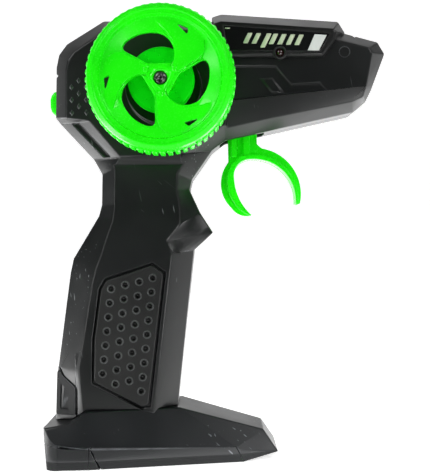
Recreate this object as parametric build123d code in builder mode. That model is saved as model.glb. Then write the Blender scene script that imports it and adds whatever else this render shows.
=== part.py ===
"""A pistol-grip radio handset for a toy vehicle, as separate pieces, in millimetres.

+X points forward to the nose, +Z up, and the steering wheel is on the -Y side, the handset's right.
The origin is the centre of the foot's flat underside.
"""

import os
from math import pi, radians, tan

from build123d import *

os.makedirs("parts", exist_ok=True)

# ---------------------------------------------------------------- driving dimensions
wall = 1.8  # moulded wall round the edges
side_wall = 2.8  # moulded wall of the flat sides
boss_root = 0.4  # how far a boss runs into the wall behind it
seam = 0.15  # gap between two mouldings where they meet
running_fit = 0.05  # radial gap of a shaft in its bore
snug = 0.02  # radial gap of a screw in its pilot hole

edge_half = 8.0  # half width of the narrow front and back faces
face_half = 15.0  # half width over the flat sides
neck_half = 13.4  # half width of the neck under the head
inner_half = face_half - side_wall  # half width of the cavity
hood_edge_half = 9.0  # half width of the hood's flat top
hood_face_half = 17.0  # half width over the hood's sides

wheel_x = 2.6
wheel_z = 134.6
wheel_radius = 25.4
wheel_back = -25.0
wheel_front = -41.0
web_back = -34.8
web_front = -37.3
hub_radius = 5.0
shaft_radius = 3.0
shaft_inner_end = 3.2
shaft_nose = web_back + 1.2  # where the shaft stops inside the wheel's hub
pod_radius = 13.5
pod_front = -20.5
bush_radius = 5.0
bush_inner_end = -11.0
bush_flange = 1.5
bush_flange_thickness = 0.8
hub_disc_radius = 11.4
hub_disc_back = -31.0
hub_disc_front = -32.6
arm_hub_radius = 5.6
arm_faces = (0.0, -2.0)
arm_peg_radius = 1.2
arm_peg_z = 124.6
arm_peg_end = -4.6
steering_spring_radii = (3.6, 4.8)
steering_spring_ends = (-5.2, -9.2)
steering_sensor_radius = 8.0
steering_sensor_face = 2.0

trigger_x = 31.0
trigger_z = 128.0
trigger_pin_radius = 1.5
trigger_barrel_radius = 5.4
trigger_barrel_half = 5.0
trigger_stem_top = 126.0
stem_rib_bottom = 110.2
ring_half = 5.5
flange_half = 2.2
stem_rib_half = 4.6
pin_half = 11.2
pin_bore = trigger_pin_radius + running_fit
pin_boss_end = 7.0
pin_boss_radius = 3.4
slot_half = 6.2
slot_rear = 22.3
slot_front = 38.8
slot_bottom = 108.0
slot_top = 123.5
trigger_spring_radii = (2.1, 3.2)
trigger_spring_ends = (-5.2, -6.8)
trigger_sensor_half = 5.5
trigger_sensor_span = (123.6, 133.4)
trigger_sensor_face = 5.3

button_z = 131.25
button_height = 8.8
button_width = 11.0
button_face = -40.0
button_dome = 1.6  # how far the cap's middle stands out from its rim
button_back = -35.1
button_flange = 1.2
button_flange_end = -34.2
button_gap = 0.25  # clearance of the button in its mouth
button_stem_radius = 1.5
button_stem_length = 3.6
switch_x = -31.8
switch_half = 3.0
switch_depth = 3.2
switch_board_thickness = 1.2

foot_half = 24.0
foot_rear_corner = 6.0
foot_wall = 2.0
foot_top = 19.3
floor_front = 14.6  # where the foot's own floor starts, ahead of the battery door
door_front = 14.1
door_thickness = 1.8
tongue_y = 14.4
lower_bay_top = 5.5
bay_top = 13.4
lead_hole_x = (-22.0, -6.0)
door_screw_x = -30.0
door_screw_y = 17.0
door_screw_bore = 1.8
tongue_half = 1.2
latch_half = 1.6
base_screw_places = [(-27.4, -7.5), (-27.4, 7.5), (-2.6, -7.5), (-2.6, 7.5)]
base_screw_seat = 16.6

cell_radius = 5.25
cell_length = 44.5
cell_rear = -31.5
cell_z = 7.6
cell_half_pitch = 5.9
spring_room = 4.6
tray_half = 12.4
tray_rear = -37.0
tray_front = 14.4
tray_bottom = 2.2
cell_slack = 0.1  # radial room of a cell in the tray
terminal_radius = 1.9
terminal_height = 0.9
coil_radii = (2.6, 3.4)
plate_half = 3.6
plate_thickness = 0.4

board_back = 9.6
board_face = 8.0
board_boss_end = 12.0
radio_board_face = 6.9
radio_can_face = 5.4
chip_face = 6.4
capacitor_radius = 2.5
capacitor_end = 2.6
crystal_face = 6.6
plug_face = 4.6
resistor_face = 7.2

screw_radius = 1.15
screw_head_radius = 2.3
screw_boss_radius = 3.0
screw_seat = 9.0
screw_length = 13.0
screw_head_height = 1.5
housing_screw_places = [(-22, 150), (-22, 125), (67.8, 146.3), (-11, 96), (-14, 62), (-24, 26)]
board_screw_places = [(-10, 147), (52, 147), (17, 125.5)]

lamp_x = 44.4
lamp_z = 146.1
lamp_radius = 1.5
bezel_radius = 2.4

wire_radius = 0.65
antenna_radius = 0.5

# Each station pairs a corner of the narrow edge outline with its corner on the flat side, as (x, z).
body_stations = [
    ((3.9, 10.0), (-4.4, 10.0)),  # front of the grip, inside the foot
    ((12.1, 76.0), (4.3, 75.5)),  # front of the grip under the finger rest
    ((19.2, 82.3), (1.0, 79.8)),  # tip of the finger rest
    ((14.5, 89.9), (6.5, 85.2)),
    ((10.9, 98.1), (5.0, 97.9)),  # narrowest place of the neck
    ((11.8, 101.8), (5.1, 104.4)),
    ((19.4, 112.4), (8.0, 111.0)),
    ((24.3, 116.0), (23.9, 120.8)),  # underside of the head, behind the trigger
    ((38.4, 118.7), (40.0, 123.9)),  # underside of the head, before the trigger
    ((71.2, 125.3), (70.4, 128.9)),
    ((75.8, 128.8), (74.0, 130.2)),
    ((78.3, 133.6), (75.2, 133.4)),
    ((83.4, 146.5), (77.6, 145.8)),  # nose
    ((80.9, 150.9), (76.5, 147.6)),
    ((68.0, 154.6), (66.0, 150.4)),
    ((66.4, 156.2), (64.0, 152.0)),  # front end of the step that the hood covers
    ((20.0, 159.6), (20.5, 155.0)),
    ((-19.3, 160.7), (-17.6, 156.0)),
    ((-33.0, 152.5), (-29.4, 148.2)),
    ((-36.0, 148.6), (-31.6, 145.4)),
    ((-37.0, 144.0), (-32.4, 142.0)),  # rear block, top
    ((-37.6, 125.5), (-32.8, 124.5)),  # rear block, bottom
    ((-35.6, 122.9), (-24.4, 123.4)),  # slanted facet under the rear block
    ((-24.0, 110.0), (-13.1, 109.8)),
    ((-21.0, 104.5), (-14.5, 105.5)),
    ((-21.4, 93.3), (-14.9, 92.5)),
    ((-22.6, 89.2), (-16.0, 87.0)),
    ((-32.2, 73.8), (-23.1, 70.6)),  # web of the hand
    ((-33.4, 68.7), (-24.6, 65.0)),
    ((-38.6, 34.3), (-30.1, 34.3)),
    ((-40.2, 10.0), (-28.4, 10.0)),  # back of the grip, inside the foot
]
hood_stations = [
    ((24.0, 142.4), (24.0, 145.8)),
    ((61.5, 141.8), (59.9, 145.0)),
    ((65.6, 148.2), (64.0, 150.6)),
    ((68.9, 154.4), (64.6, 153.2)),
    ((66.4, 158.5), (63.5, 154.2)),
    ((23.8, 162.1), (23.6, 157.6)),
    ((20.2, 161.0), (21.0, 156.9)),
]
label_outline = [(25.9, 147.4), (58.9, 146.3), (62.3, 152.4), (24.6, 156.0)]
badge_outline = [(54.3, 146.6), (58.3, 146.5), (61.2, 151.9), (56.9, 152.3)]
recess_outline = [
    (24.5, 129.8),
    (60.6, 132.9),
    (58.6, 135.4),
    (48.5, 135.0),
    (44.8, 139.2),
    (43.0, 141.6),
    (24.5, 142.0),
]
slash_outline = [(41.5, 132.4), (45.4, 132.3), (41.6, 137.4), (37.7, 137.2)]
rear_groove_outline = [(-31.2, 122.9), (-20.0, 110.5), (-17.3, 110.5), (-28.5, 122.9)]
rear_groove_floor = -10.6
pad_outline = [
    (-24.6, 29.6),
    (-7.8, 20.6),
    (-5.4, 20.9),
    (1.0, 68.0),
    (-2.9, 71.0),
    (-19.4, 65.9),
    (-21.4, 62.6),
    (-24.1, 44.6),
]
pad_groove = 0.8
pad_depth = 1.2
lug_outline = [(-43, 8), (-31.4, 8), (-31.1, 27.4), (-36.2, 31.1), (-37.9, 34.5), (-43, 36.6)]
lug_slot = [(-37.0, 18.2), (-34.3, 18.4), (-34.1, 25.4), (-36.0, 27.4)]
lug_half = 13.8
foot_side_outline = [
    (-41.2, 0.0),
    (28.4, 0.0),
    (41.2, 2.6),
    (36.0, 10.5),
    (6.1, foot_top),
    (-27.7, foot_top),
    (-33.0, 15.8),
    (-42.6, 14.4),
]
foot_plan_outline = [
    (-42.6, -foot_half),
    (-26.0, -foot_half),
    (28.4, -16.4),
    (41.2, -12.4),
    (41.2, 12.4),
    (28.4, 16.4),
    (-26.0, foot_half),
    (-42.6, foot_half),
]
foot_heel_points = [(-42.6, foot_half, 9.5), (-26.0, foot_half, 7.6), (-27.7, 18.0, foot_top)]
foot_slope_points = [(-26.0, foot_half, 7.6), (28.4, 16.4, 5.3), (-27.7, 18.0, foot_top)]
foot_ridge_points = [(6.1, 12.5, foot_top), (26.1, 16.75, 5.3), (36.0, 10.5, 10.5)]
foot_toe_points = [(36.0, 10.5, 10.5), (26.1, 16.75, 5.3), (41.2, 12.4, 2.6)]
door_seam_outline = [(-45, -1), (-21.6, -1), (-25.6, 7.4), (-34.0, 7.6), (-45, 9.6)]
knuckle_outline = [
    (-40.0, 12.0),
    (-37.4, 12.0),
    (-37.4, 16.1),
    (-38.0, 16.7),
    (-39.4, 16.7),
    (-40.0, 16.1),
]
knuckle_half = 6.0
stem_ribs = [(26.5, 28.5), (31.0, 33.4)]
upward = (Align.CENTER, Align.CENTER, Align.MIN)
wheel_axis = Axis((wheel_x, 0, wheel_z), (0, 1, 0))
wheel_centre = [(wheel_x, wheel_z)]
trigger_centre = [(trigger_x, trigger_z)]
lamp_centre = [(lamp_x, lamp_z)]


# ---------------------------------------------------------------- helpers
def inset(points, distance):
    """The corners of an anticlockwise outline, moved inwards by a distance."""
    moved = []
    for index, corner in enumerate(points):
        here = Vector(*corner)
        along_in = (here - Vector(*points[index - 1])).normalized()
        along_out = (Vector(*points[(index + 1) % len(points)]) - here).normalized()
        inward = Vector(-along_in.Y, along_in.X)
        mitre = (inward + Vector(-along_out.Y, along_out.X)).normalized()
        moved.append(here + mitre * (distance / mitre.dot(inward)))
    return moved


def outline(plane, points):
    """A closed straight-sided outline on a plane."""
    with BuildSketch(plane) as flat:
        with BuildLine():
            Polyline(*points, close=True)
        make_face()
    return flat.sketch


def side_outline(y, points):
    """A closed outline of (x, z) points facing the -Y side, at y."""
    return outline(Plane.XZ.offset(-y), points)


def side_disc(y, radius, places):
    """Round outlines facing the -Y side, at y, centred on (x, z) places."""
    with BuildSketch(Plane.XZ.offset(-y)) as flat:
        with Locations(*places):
            Circle(radius)
    return flat.sketch


def rods(places, y_from, y_to, radius, mode=Mode.ADD):
    """Round bars along Y between two depths, the first the larger y."""
    extrude(side_disc(y_from, radius, places), amount=y_from - y_to, mode=mode)


def slab(points, y_from, y_to, mode=Mode.ADD):
    """An (x, z) outline made solid between two depths, the first the larger y."""
    extrude(side_outline(y_from, points), amount=y_from - y_to, mode=mode)


def faceted_half(stations, edge_depth, face_depth, edge_inset=0.0, face_inset=0.0):
    """The -Y half of a moulding: straight to the edge depth, then sloping in to the flat side."""
    edge = inset([pair[0] for pair in stations], edge_inset)
    face = inset([pair[1] for pair in stations], face_inset)
    with BuildPart() as half:
        extrude(side_outline(0, edge), amount=edge_depth)
        loft([side_outline(-edge_depth, edge), side_outline(-face_depth, face)], ruled=True)
    return half.part


def outward_plane(points, side):
    """The plane through three points of the +Y side, facing out, or its mirror image."""
    a, b, c = (Vector(x, y * side, z) for x, y, z in points)
    normal = (b - a).cross(c - a)
    if normal.Z < 0:
        normal = normal * -1
    return Plane(origin=a, z_dir=normal)


def block(x_range, y_range, z_range, mode=Mode.ADD):
    """A rectangular block between three pairs of limits."""
    middle = [(low + high) / 2 for low, high in (x_range, y_range, z_range)]
    size = [high - low for low, high in (x_range, y_range, z_range)]
    with Locations(tuple(middle)):
        Box(*size, mode=mode)


def save(piece, name):
    """Label a finished piece and write it to its own file."""
    piece.part.label = name
    export_step(piece.part, f"parts/{name}.step")


def foot_plan(margin, front):
    """The foot's plan outline 1 mm below its underside, inset by a margin and cut off at a front x."""
    with BuildSketch(Plane.XY.offset(-1)) as flat:
        with BuildLine():
            Polyline(*inset(foot_plan_outline, margin), close=True)
        make_face()
        fillet(flat.vertices().group_by(Axis.X)[0], radius=foot_rear_corner - margin)
        with Locations((front + foot_half, 0)):
            Rectangle(2 * foot_half, 3 * foot_half, mode=Mode.SUBTRACT)
    return flat.sketch


def bent_wire(points, radius):
    """A wire along straight runs whose corners are the largest tangent arcs that their runs allow."""
    corners = [Vector(*point) for point in points]
    bends = []
    for before, here, after in zip(corners, corners[1:], corners[2:]):
        run_in = here - before
        run_out = after - here
        half_turn = run_in.get_angle(run_out) / 2
        bends.append(0.45 * min(run_in.length, run_out.length) / tan(radians(half_turn)))
    with BuildPart() as wire:
        with BuildLine() as route:
            FilletPolyline(*corners, radius=bends)
        with BuildSketch(Plane(origin=corners[0], z_dir=(corners[1] - corners[0]))):
            Circle(radius)
        sweep()
    length = sum(edge.length for edge in route.edges())
    swept = wire.part.volume / (pi * radius**2)
    print("wire: tightest bend, length, volume over section:", min(bends), length, swept)
    return wire


# ---------------------------------------------------------------- outer forms, cut up further down
with BuildPart() as foot_form:
    extrude(side_outline(foot_half, foot_side_outline), amount=2 * foot_half)
    with BuildSketch(Plane.XY) as seen_from_above:
        with BuildLine():
            Polyline(*foot_plan_outline, close=True)
        make_face()
        fillet(seen_from_above.vertices().group_by(Axis.X)[0], radius=foot_rear_corner)
    extrude(amount=foot_top + wall, mode=Mode.INTERSECT)
    for side in (1, -1):
        for points in (foot_heel_points, foot_slope_points, foot_ridge_points, foot_toe_points):
            split(bisect_by=outward_plane(points, side), keep=Keep.BOTTOM)

body_form = faceted_half(body_stations, edge_half, face_half)
body_cavity = faceted_half(body_stations, edge_half - 0.4, face_half - side_wall, wall, wall + 0.6)
hood_form = faceted_half(hood_stations, hood_edge_half, hood_face_half)
crease_plane = Plane(origin=(24.0, -face_half, 129.4), x_dir=(0, -1, 0), z_dir=(47.6, 0, 4.1))

# One half of the housing, before the features that only one side has
with BuildPart() as housing_half:
    add(body_form)
    # relief of the neck under the head
    neck_cut = [
        (-face_half - 1, 111.6),
        (-face_half, 110.7),
        (-neck_half, 107.0),
        (-neck_half, 94.0),
        (-face_half, 74.0),
        (-face_half - 1, 74.0),
    ]
    extrude(outline(Plane.YZ.offset(-30), neck_cut), amount=39, mode=Mode.SUBTRACT)
    # lower band of the head leans in towards its bottom edge
    extrude(
        outline(crease_plane, [(0, 0), (1, 0), (1, 10), (-1.6, 10)]), amount=60, mode=Mode.SUBTRACT
    )
    slab(recess_outline, -face_half + 1.0, -face_half - 1, mode=Mode.SUBTRACT)
    slab(slash_outline, -face_half + 1.2, -face_half + 0.3)
    slab(rear_groove_outline, rear_groove_floor, -face_half - 1, mode=Mode.SUBTRACT)
    # grooves that break the rear block and the nose
    slab([(-39, 142.3), (-39, 139.7), (-35.9, 140.9)], 0, -edge_half - 5, mode=Mode.SUBTRACT)
    slab([(71.4, 155), (72.4, 152.4), (73.6, 155)], 0, -edge_half - 3, mode=Mode.SUBTRACT)
    # cavity, then what stands in it
    add(body_cavity, mode=Mode.SUBTRACT)
    rods(housing_screw_places, 0, -inner_half - boss_root, screw_boss_radius)
    with Locations(*[(x, y, foot_top) for x, y in base_screw_places if y < 0]):
        Cylinder(screw_boss_radius, 9, align=upward)
        Cylinder(screw_radius + snug, 8, align=upward, mode=Mode.SUBTRACT)
    add(body_form, mode=Mode.INTERSECT)
    rods(trigger_centre, -pin_boss_end, -inner_half - boss_root, pin_boss_radius)
    rods(trigger_centre, -pin_boss_end, -pin_half - seam, pin_bore, mode=Mode.SUBTRACT)
    # recess of the grip pad, hole of the trigger, seat of the strap lug, mouth of the button
    slab(inset(pad_outline, -pad_groove), pad_depth - face_half, -face_half - 1, mode=Mode.SUBTRACT)
    block((slot_rear, slot_front), (-slot_half, 0), (slot_bottom, slot_top), mode=Mode.SUBTRACT)
    slab(lug_outline, 0, -lug_half, mode=Mode.SUBTRACT)
    mouth_low = button_z - button_height / 2 - button_gap
    mouth_high = button_z + button_height / 2 + button_gap
    mouth_half = button_width / 2 + button_gap
    block((-45, -34), (-mouth_half, 0), (mouth_low, mouth_high), mode=Mode.SUBTRACT)
    add(foot_form.part, mode=Mode.SUBTRACT)

# ---------------------------------------------------------------- housing
with BuildPart() as housing_right:
    add(housing_half.part)
    rods(wheel_centre, -inner_half, pod_front, pod_radius)
    rods(wheel_centre, bush_inner_end - 0.5, -face_half, bush_radius + 2.5)
    rods(wheel_centre, 0, pod_front - 1, bush_radius, mode=Mode.SUBTRACT)
    rods(housing_screw_places, 0, screw_seat - screw_length, screw_radius + snug, mode=Mode.SUBTRACT)
    rods([(67.8, 146.3)], -face_half + 0.4, -face_half - 1, 1.9, mode=Mode.SUBTRACT)
    rods(lamp_centre, -inner_half + 1, -face_half - 1, lamp_radius + 0.3, Mode.SUBTRACT)
save(housing_right, "housing_right")

with BuildPart() as housing_left:
    mirror(housing_half.part, about=Plane.XZ)
    rods(board_screw_places, inner_half + boss_root, board_back, screw_head_radius)
    rods(trigger_centre, board_back + 0.4, 0, pin_boss_radius + 0.2, mode=Mode.SUBTRACT)
    rods(housing_screw_places, face_half + 1, 0, screw_radius + 0.3, mode=Mode.SUBTRACT)
    rods(housing_screw_places, face_half + 1, screw_seat - screw_head_height, 2.6, mode=Mode.SUBTRACT)
    rods(board_screw_places, board_boss_end, board_back, screw_radius + snug, mode=Mode.SUBTRACT)
save(housing_left, "housing_left")

with BuildPart() as top_hood:
    add(hood_form)
    mirror(hood_form, about=Plane.XZ)
    add(body_form, mode=Mode.SUBTRACT)
    mirror(body_form, about=Plane.XZ, mode=Mode.SUBTRACT)
    label_seat = inset(label_outline, -0.1)
    slab(label_seat, -hood_face_half + 0.6, -hood_face_half - 1, mode=Mode.SUBTRACT)
    slab(label_seat, hood_face_half + 1, hood_face_half - 0.6, mode=Mode.SUBTRACT)
    rods(lamp_centre, -14, -19, bezel_radius + snug, mode=Mode.SUBTRACT)
save(top_hood, "top_hood")

with BuildPart() as label_right:
    slab(label_outline, -hood_face_half + 0.6, -hood_face_half - 0.2)
    rods(lamp_centre, -14, -19, bezel_radius + snug, mode=Mode.SUBTRACT)
save(label_right, "label_right")

with BuildPart() as label_left:
    slab(label_outline, hood_face_half + 0.2, hood_face_half - 0.6)
save(label_left, "label_left")

with BuildPart() as label_chips:
    slab(badge_outline, -hood_face_half - 0.2, -hood_face_half - 0.5)
    slab(badge_outline, hood_face_half + 0.5, hood_face_half + 0.2)
save(label_chips, "label_chips")

with BuildPart() as lamp_bezel:
    rods(lamp_centre, -15.3, -17.7, bezel_radius)
    rods(lamp_centre, -15, -18, lamp_radius + snug, mode=Mode.SUBTRACT)
save(lamp_bezel, "lamp_bezel")

with BuildPart() as lamp:
    rods(lamp_centre, -11.6, -17.4, lamp_radius)
    fillet(lamp.edges().group_by(Axis.Y)[0], radius=lamp_radius * 0.8)
    rods(lamp_centre, -10.6, -12.2, lamp_radius + 0.25)
save(lamp, "lamp")

dimple_step = (-0.62, -5.07)
dimple_columns = [((-17.8, 62.9), 7), ((-12.7, 64.2), 8), ((-7.7, 65.2), 8), ((-2.8, 66.5), 9)]
dimple_places = [
    (x + row * dimple_step[0], z + row * dimple_step[1])
    for (x, z), rows in dimple_columns
    for row in range(rows)
]
pad_face = face_half + 0.5
with BuildPart() as grip_pad_right:
    slab(pad_outline, pad_depth - face_half, -pad_face)
    rods(dimple_places, 0.5 - pad_face, -pad_face - 1, 0.9, mode=Mode.SUBTRACT)
save(grip_pad_right, "grip_pad_right")

with BuildPart() as grip_pad_left:
    mirror(grip_pad_right.part, about=Plane.XZ)
save(grip_pad_left, "grip_pad_left")

with BuildPart() as strap_lug:
    add(body_form)
    mirror(body_form, about=Plane.XZ)
    slab(inset(lug_outline, seam), lug_half - seam, seam - lug_half, mode=Mode.INTERSECT)
    add(foot_form.part, mode=Mode.SUBTRACT)
    slab(inset(knuckle_outline, -seam), knuckle_half + seam, -knuckle_half - seam, mode=Mode.SUBTRACT)
    slab(lug_slot, lug_half, -lug_half, mode=Mode.SUBTRACT)
save(strap_lug, "strap_lug")

with BuildPart() as housing_screws:
    rods(housing_screw_places, screw_seat, screw_seat - screw_length, screw_radius)
    rods(housing_screw_places, screw_seat + 0.1, screw_seat - screw_head_height, screw_head_radius)
save(housing_screws, "housing_screws")

# ---------------------------------------------------------------- foot and batteries
with BuildPart() as base_shell:
    add(foot_form.part)
    # bays, stepped under the sloping sides, and the hollow toe
    extrude(foot_plan(foot_wall, floor_front), amount=1 + lower_bay_top, mode=Mode.SUBTRACT)
    block((-37, -20), (-19.5, 19.5), (lower_bay_top - 0.1, 10), mode=Mode.SUBTRACT)
    block((-37, 8), (-16, 16), (lower_bay_top - 0.1, 10), mode=Mode.SUBTRACT)
    block((-37.2, floor_front), (-tray_half - 0.1, tray_half + 0.1), (5, bay_top), mode=Mode.SUBTRACT)
    block((floor_front - 1, 30), (-10.5, 10.5), (door_thickness, 8.5), mode=Mode.SUBTRACT)
    for y in (-tongue_y, tongue_y):
        across = (y - latch_half, y + latch_half)
        block((14, 18), across, (door_thickness, lower_bay_top), mode=Mode.SUBTRACT)
    # way through for the battery leads, screw holes, boss of the door screw
    block(lead_hole_x, (-6.5, 6.5), (10, 21), mode=Mode.SUBTRACT)
    with Locations(*[(x, y, 0) for x, y in base_screw_places]):
        Cylinder(screw_radius + 0.2, 25, align=upward, mode=Mode.SUBTRACT)
        Cylinder(screw_head_radius + 0.3, base_screw_seat, align=upward, mode=Mode.SUBTRACT)
    slab(inset(door_seam_outline, -seam), foot_half + 1, -foot_half - 1, mode=Mode.SUBTRACT)
    with Locations((door_screw_x, door_screw_y, door_thickness + 0.3)):
        Cylinder(3.0, 9, align=upward)
        Cylinder(door_screw_bore, 8, align=upward, mode=Mode.SUBTRACT)
    # knuckle at the back, under the strap lug
    slab(knuckle_outline, knuckle_half, -knuckle_half)
save(base_shell, "base_shell")

with BuildPart() as battery_door:
    add(foot_form.part)
    slab(door_seam_outline, foot_half + 1, -foot_half - 1, mode=Mode.INTERSECT)
    hollow = foot_plan(foot_wall, floor_front).moved(Location((0, 0, 1 + door_thickness)))
    extrude(hollow, amount=12, mode=Mode.SUBTRACT)
    floor = foot_plan(foot_wall + seam, door_front).moved(Location((0, 0, 1)))
    extrude(floor, amount=door_thickness)
    for y in (-tongue_y, tongue_y):
        across = (y - tongue_half, y + tongue_half)
        block((11.2, 12.6), across, (1.7, 2.9))
        block((11.2, 16.4), across, (1.95, 2.9))
    with Locations((door_screw_x, door_screw_y, -0.5)):
        Cylinder(screw_radius + 0.2, 5, align=upward, mode=Mode.SUBTRACT)
        Cylinder(screw_head_radius + 0.1, 1.8, align=upward, mode=Mode.SUBTRACT)
save(battery_door, "battery_door")

with BuildPart() as door_screw:
    with Locations((door_screw_x, door_screw_y, 0.3)):
        Cylinder(screw_head_radius, 1.0, align=upward)
        Cylinder(screw_radius, 6.0, align=upward)
save(door_screw, "door_screw")

with BuildPart() as base_screws:
    with Locations(*[(x, y, base_screw_seat) for x, y in base_screw_places]):
        Cylinder(screw_radius, 10, align=upward)
    with Locations(*[(x, y, base_screw_seat - screw_head_height) for x, y in base_screw_places]):
        Cylinder(screw_head_radius, screw_head_height, align=upward)
save(base_screws, "base_screws")

cell_axes = Plane(origin=(cell_rear, 0, cell_z), x_dir=(0, 1, 0), z_dir=(1, 0, 0))
cell_places = [(-cell_half_pitch, 0), (cell_half_pitch, 0)]
with BuildPart() as battery_tray:
    block((tray_rear, tray_front), (-tray_half, tray_half), (tray_bottom, bay_top - 0.1))
    trough_radius = cell_radius + cell_slack
    trough_length = spring_room + cell_length + plate_thickness
    trough_rear = cell_rear - spring_room
    with BuildSketch(cell_axes.offset(-spring_room)):
        with Locations(*cell_places):
            Circle(trough_radius)
    extrude(amount=trough_length, mode=Mode.SUBTRACT)
    for y in (-cell_half_pitch, cell_half_pitch):
        along = (trough_rear, trough_rear + trough_length)
        across = (y - trough_radius, y + trough_radius)
        block(along, across, (tray_bottom - 0.2, cell_z), mode=Mode.SUBTRACT)
save(battery_tray, "battery_tray")

with BuildPart() as battery_cells:
    with BuildSketch(cell_axes):
        with Locations(*cell_places):
            Circle(cell_radius)
    extrude(amount=cell_length - terminal_height)
    with BuildSketch(cell_axes.offset(cell_length - terminal_height)):
        with Locations(*cell_places):
            Circle(terminal_radius)
    extrude(amount=terminal_height)
save(battery_cells, "battery_cells")

with BuildPart() as battery_springs:
    with BuildSketch(cell_axes.offset(-spring_room + plate_thickness)):
        with Locations(*cell_places):
            Circle(coil_radii[1])
            Circle(coil_radii[0], mode=Mode.SUBTRACT)
    extrude(amount=spring_room - plate_thickness)
save(battery_springs, "battery_springs")

with BuildPart() as contact_plates:
    for x in (cell_rear - spring_room, cell_rear + cell_length):
        for y in (-cell_half_pitch, cell_half_pitch):
            across = (y - plate_half, y + plate_half)
            block((x, x + plate_thickness), across, (cell_z - plate_half, cell_z + plate_half))
save(contact_plates, "contact_plates")

# ---------------------------------------------------------------- steering
wheel_plane = Plane(origin=(wheel_x, 0, wheel_z), x_dir=(1, 0, 0), z_dir=(0, 0, 1))
opening_plane = Plane(origin=(wheel_x, wheel_front - 1, wheel_z), x_dir=(1, 0, 0), z_dir=(0, 1, 0))
with BuildSketch() as wheel_opening:
    with BuildLine():
        ThreePointArc((-11.9, -9.9), (-8.2, -13.0), (-3.2, -14.9))
        ThreePointArc((-3.2, -14.9), (1.4, -13.5), (4.2, -9.0))
        ThreePointArc((4.2, -9.0), (4.6, -6.4), (3.6, -4.0))
        Polyline((3.6, -4.0), (-4.0, -4.2), (-11.9, -8.8), (-11.9, -9.9))
    make_face()
    with BuildLine():
        Polyline((5.3, -18.4), (9.7, -16.3), (9.5, -14.0), close=True)
    make_face()
with BuildPart() as steering_wheel:
    with BuildSketch(wheel_plane):
        with BuildLine():
            Polyline(
                (wheel_radius, wheel_front + 2.4),
                (wheel_radius, wheel_back),
                (23.0, wheel_back),
                (23.0, -38.0),
                (19.8, -37.0),
                (16.5, web_back),
                (hub_radius, web_back),
                (hub_radius, wheel_back + 1),
                (shaft_radius, wheel_back + 1),
                (shaft_radius, shaft_nose),
                (screw_radius + snug, shaft_nose),
                (screw_radius + snug, web_front + 1.1),
                (screw_head_radius + 0.1, web_front + 1.1),
                (screw_head_radius + 0.1, web_front),
                (16.0, web_front),
                (20.6, wheel_front + 0.7),
                (21.2, wheel_front),
                (wheel_radius - 2.4, wheel_front),
            )
            ThreePointArc(
                (wheel_radius - 2.4, wheel_front),
                (wheel_radius - 0.7, wheel_front + 0.7),
                (wheel_radius, wheel_front + 2.4),
            )
        make_face()
    revolve(axis=wheel_axis)
    with BuildSketch(opening_plane):
        with PolarLocations(0, 3):
            add(wheel_opening.sketch)
    extrude(amount=10, mode=Mode.SUBTRACT)
save(steering_wheel, "steering_wheel")

with BuildPart() as wheel_hub_disc:
    rods(wheel_centre, hub_disc_back, hub_disc_front, hub_disc_radius)
    fillet(wheel_hub_disc.edges().group_by(Axis.Y)[0], radius=1.2)
    rods(wheel_centre, hub_disc_back + 1, hub_disc_front - 1, hub_radius, mode=Mode.SUBTRACT)
save(wheel_hub_disc, "wheel_hub_disc")

with BuildPart() as wheel_screw:
    rods(wheel_centre, web_front + 1.1, web_front - 0.3, screw_head_radius)
    rods(wheel_centre, web_front + 9, web_front + 1.0, screw_radius)
save(wheel_screw, "wheel_screw")

with BuildPart() as steering_shaft:
    rods(wheel_centre, shaft_inner_end, shaft_nose, shaft_radius)
    rods(wheel_centre, web_front + 9.4, web_back, screw_radius + snug, mode=Mode.SUBTRACT)
save(steering_shaft, "steering_shaft")

with BuildPart() as shaft_bush:
    rods(wheel_centre, bush_inner_end, pod_front, bush_radius)
    rods(wheel_centre, pod_front, pod_front - bush_flange_thickness, bush_radius + bush_flange)
    rods(wheel_centre, 0, -30, shaft_radius + running_fit, mode=Mode.SUBTRACT)
save(shaft_bush, "shaft_bush")

with BuildPart() as steering_arm:
    arm_outline = [
        (wheel_x - 1.6, wheel_z),
        (wheel_x - 1.2, arm_peg_z - 1.6),
        (wheel_x + 1.2, arm_peg_z - 1.6),
        (wheel_x + 1.6, wheel_z),
    ]
    rods(wheel_centre, arm_faces[0] + 0.6, arm_faces[1], arm_hub_radius)
    slab(arm_outline, *arm_faces)
    rods([(wheel_x, arm_peg_z)], arm_faces[0], arm_peg_end, arm_peg_radius)
    rods(wheel_centre, 1, -3, shaft_radius, mode=Mode.SUBTRACT)
save(steering_arm, "steering_arm")

with BuildPart() as steering_spring:
    rods(wheel_centre, *steering_spring_ends, steering_spring_radii[1])
    rods(wheel_centre, 0, -12, steering_spring_radii[0], mode=Mode.SUBTRACT)
save(steering_spring, "steering_spring")

with BuildPart() as steering_sensor:
    rods(wheel_centre, board_face, steering_sensor_face, steering_sensor_radius)
    rods(wheel_centre, shaft_inner_end + 1, 1.0, shaft_radius + running_fit, mode=Mode.SUBTRACT)
save(steering_sensor, "steering_sensor")

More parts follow.
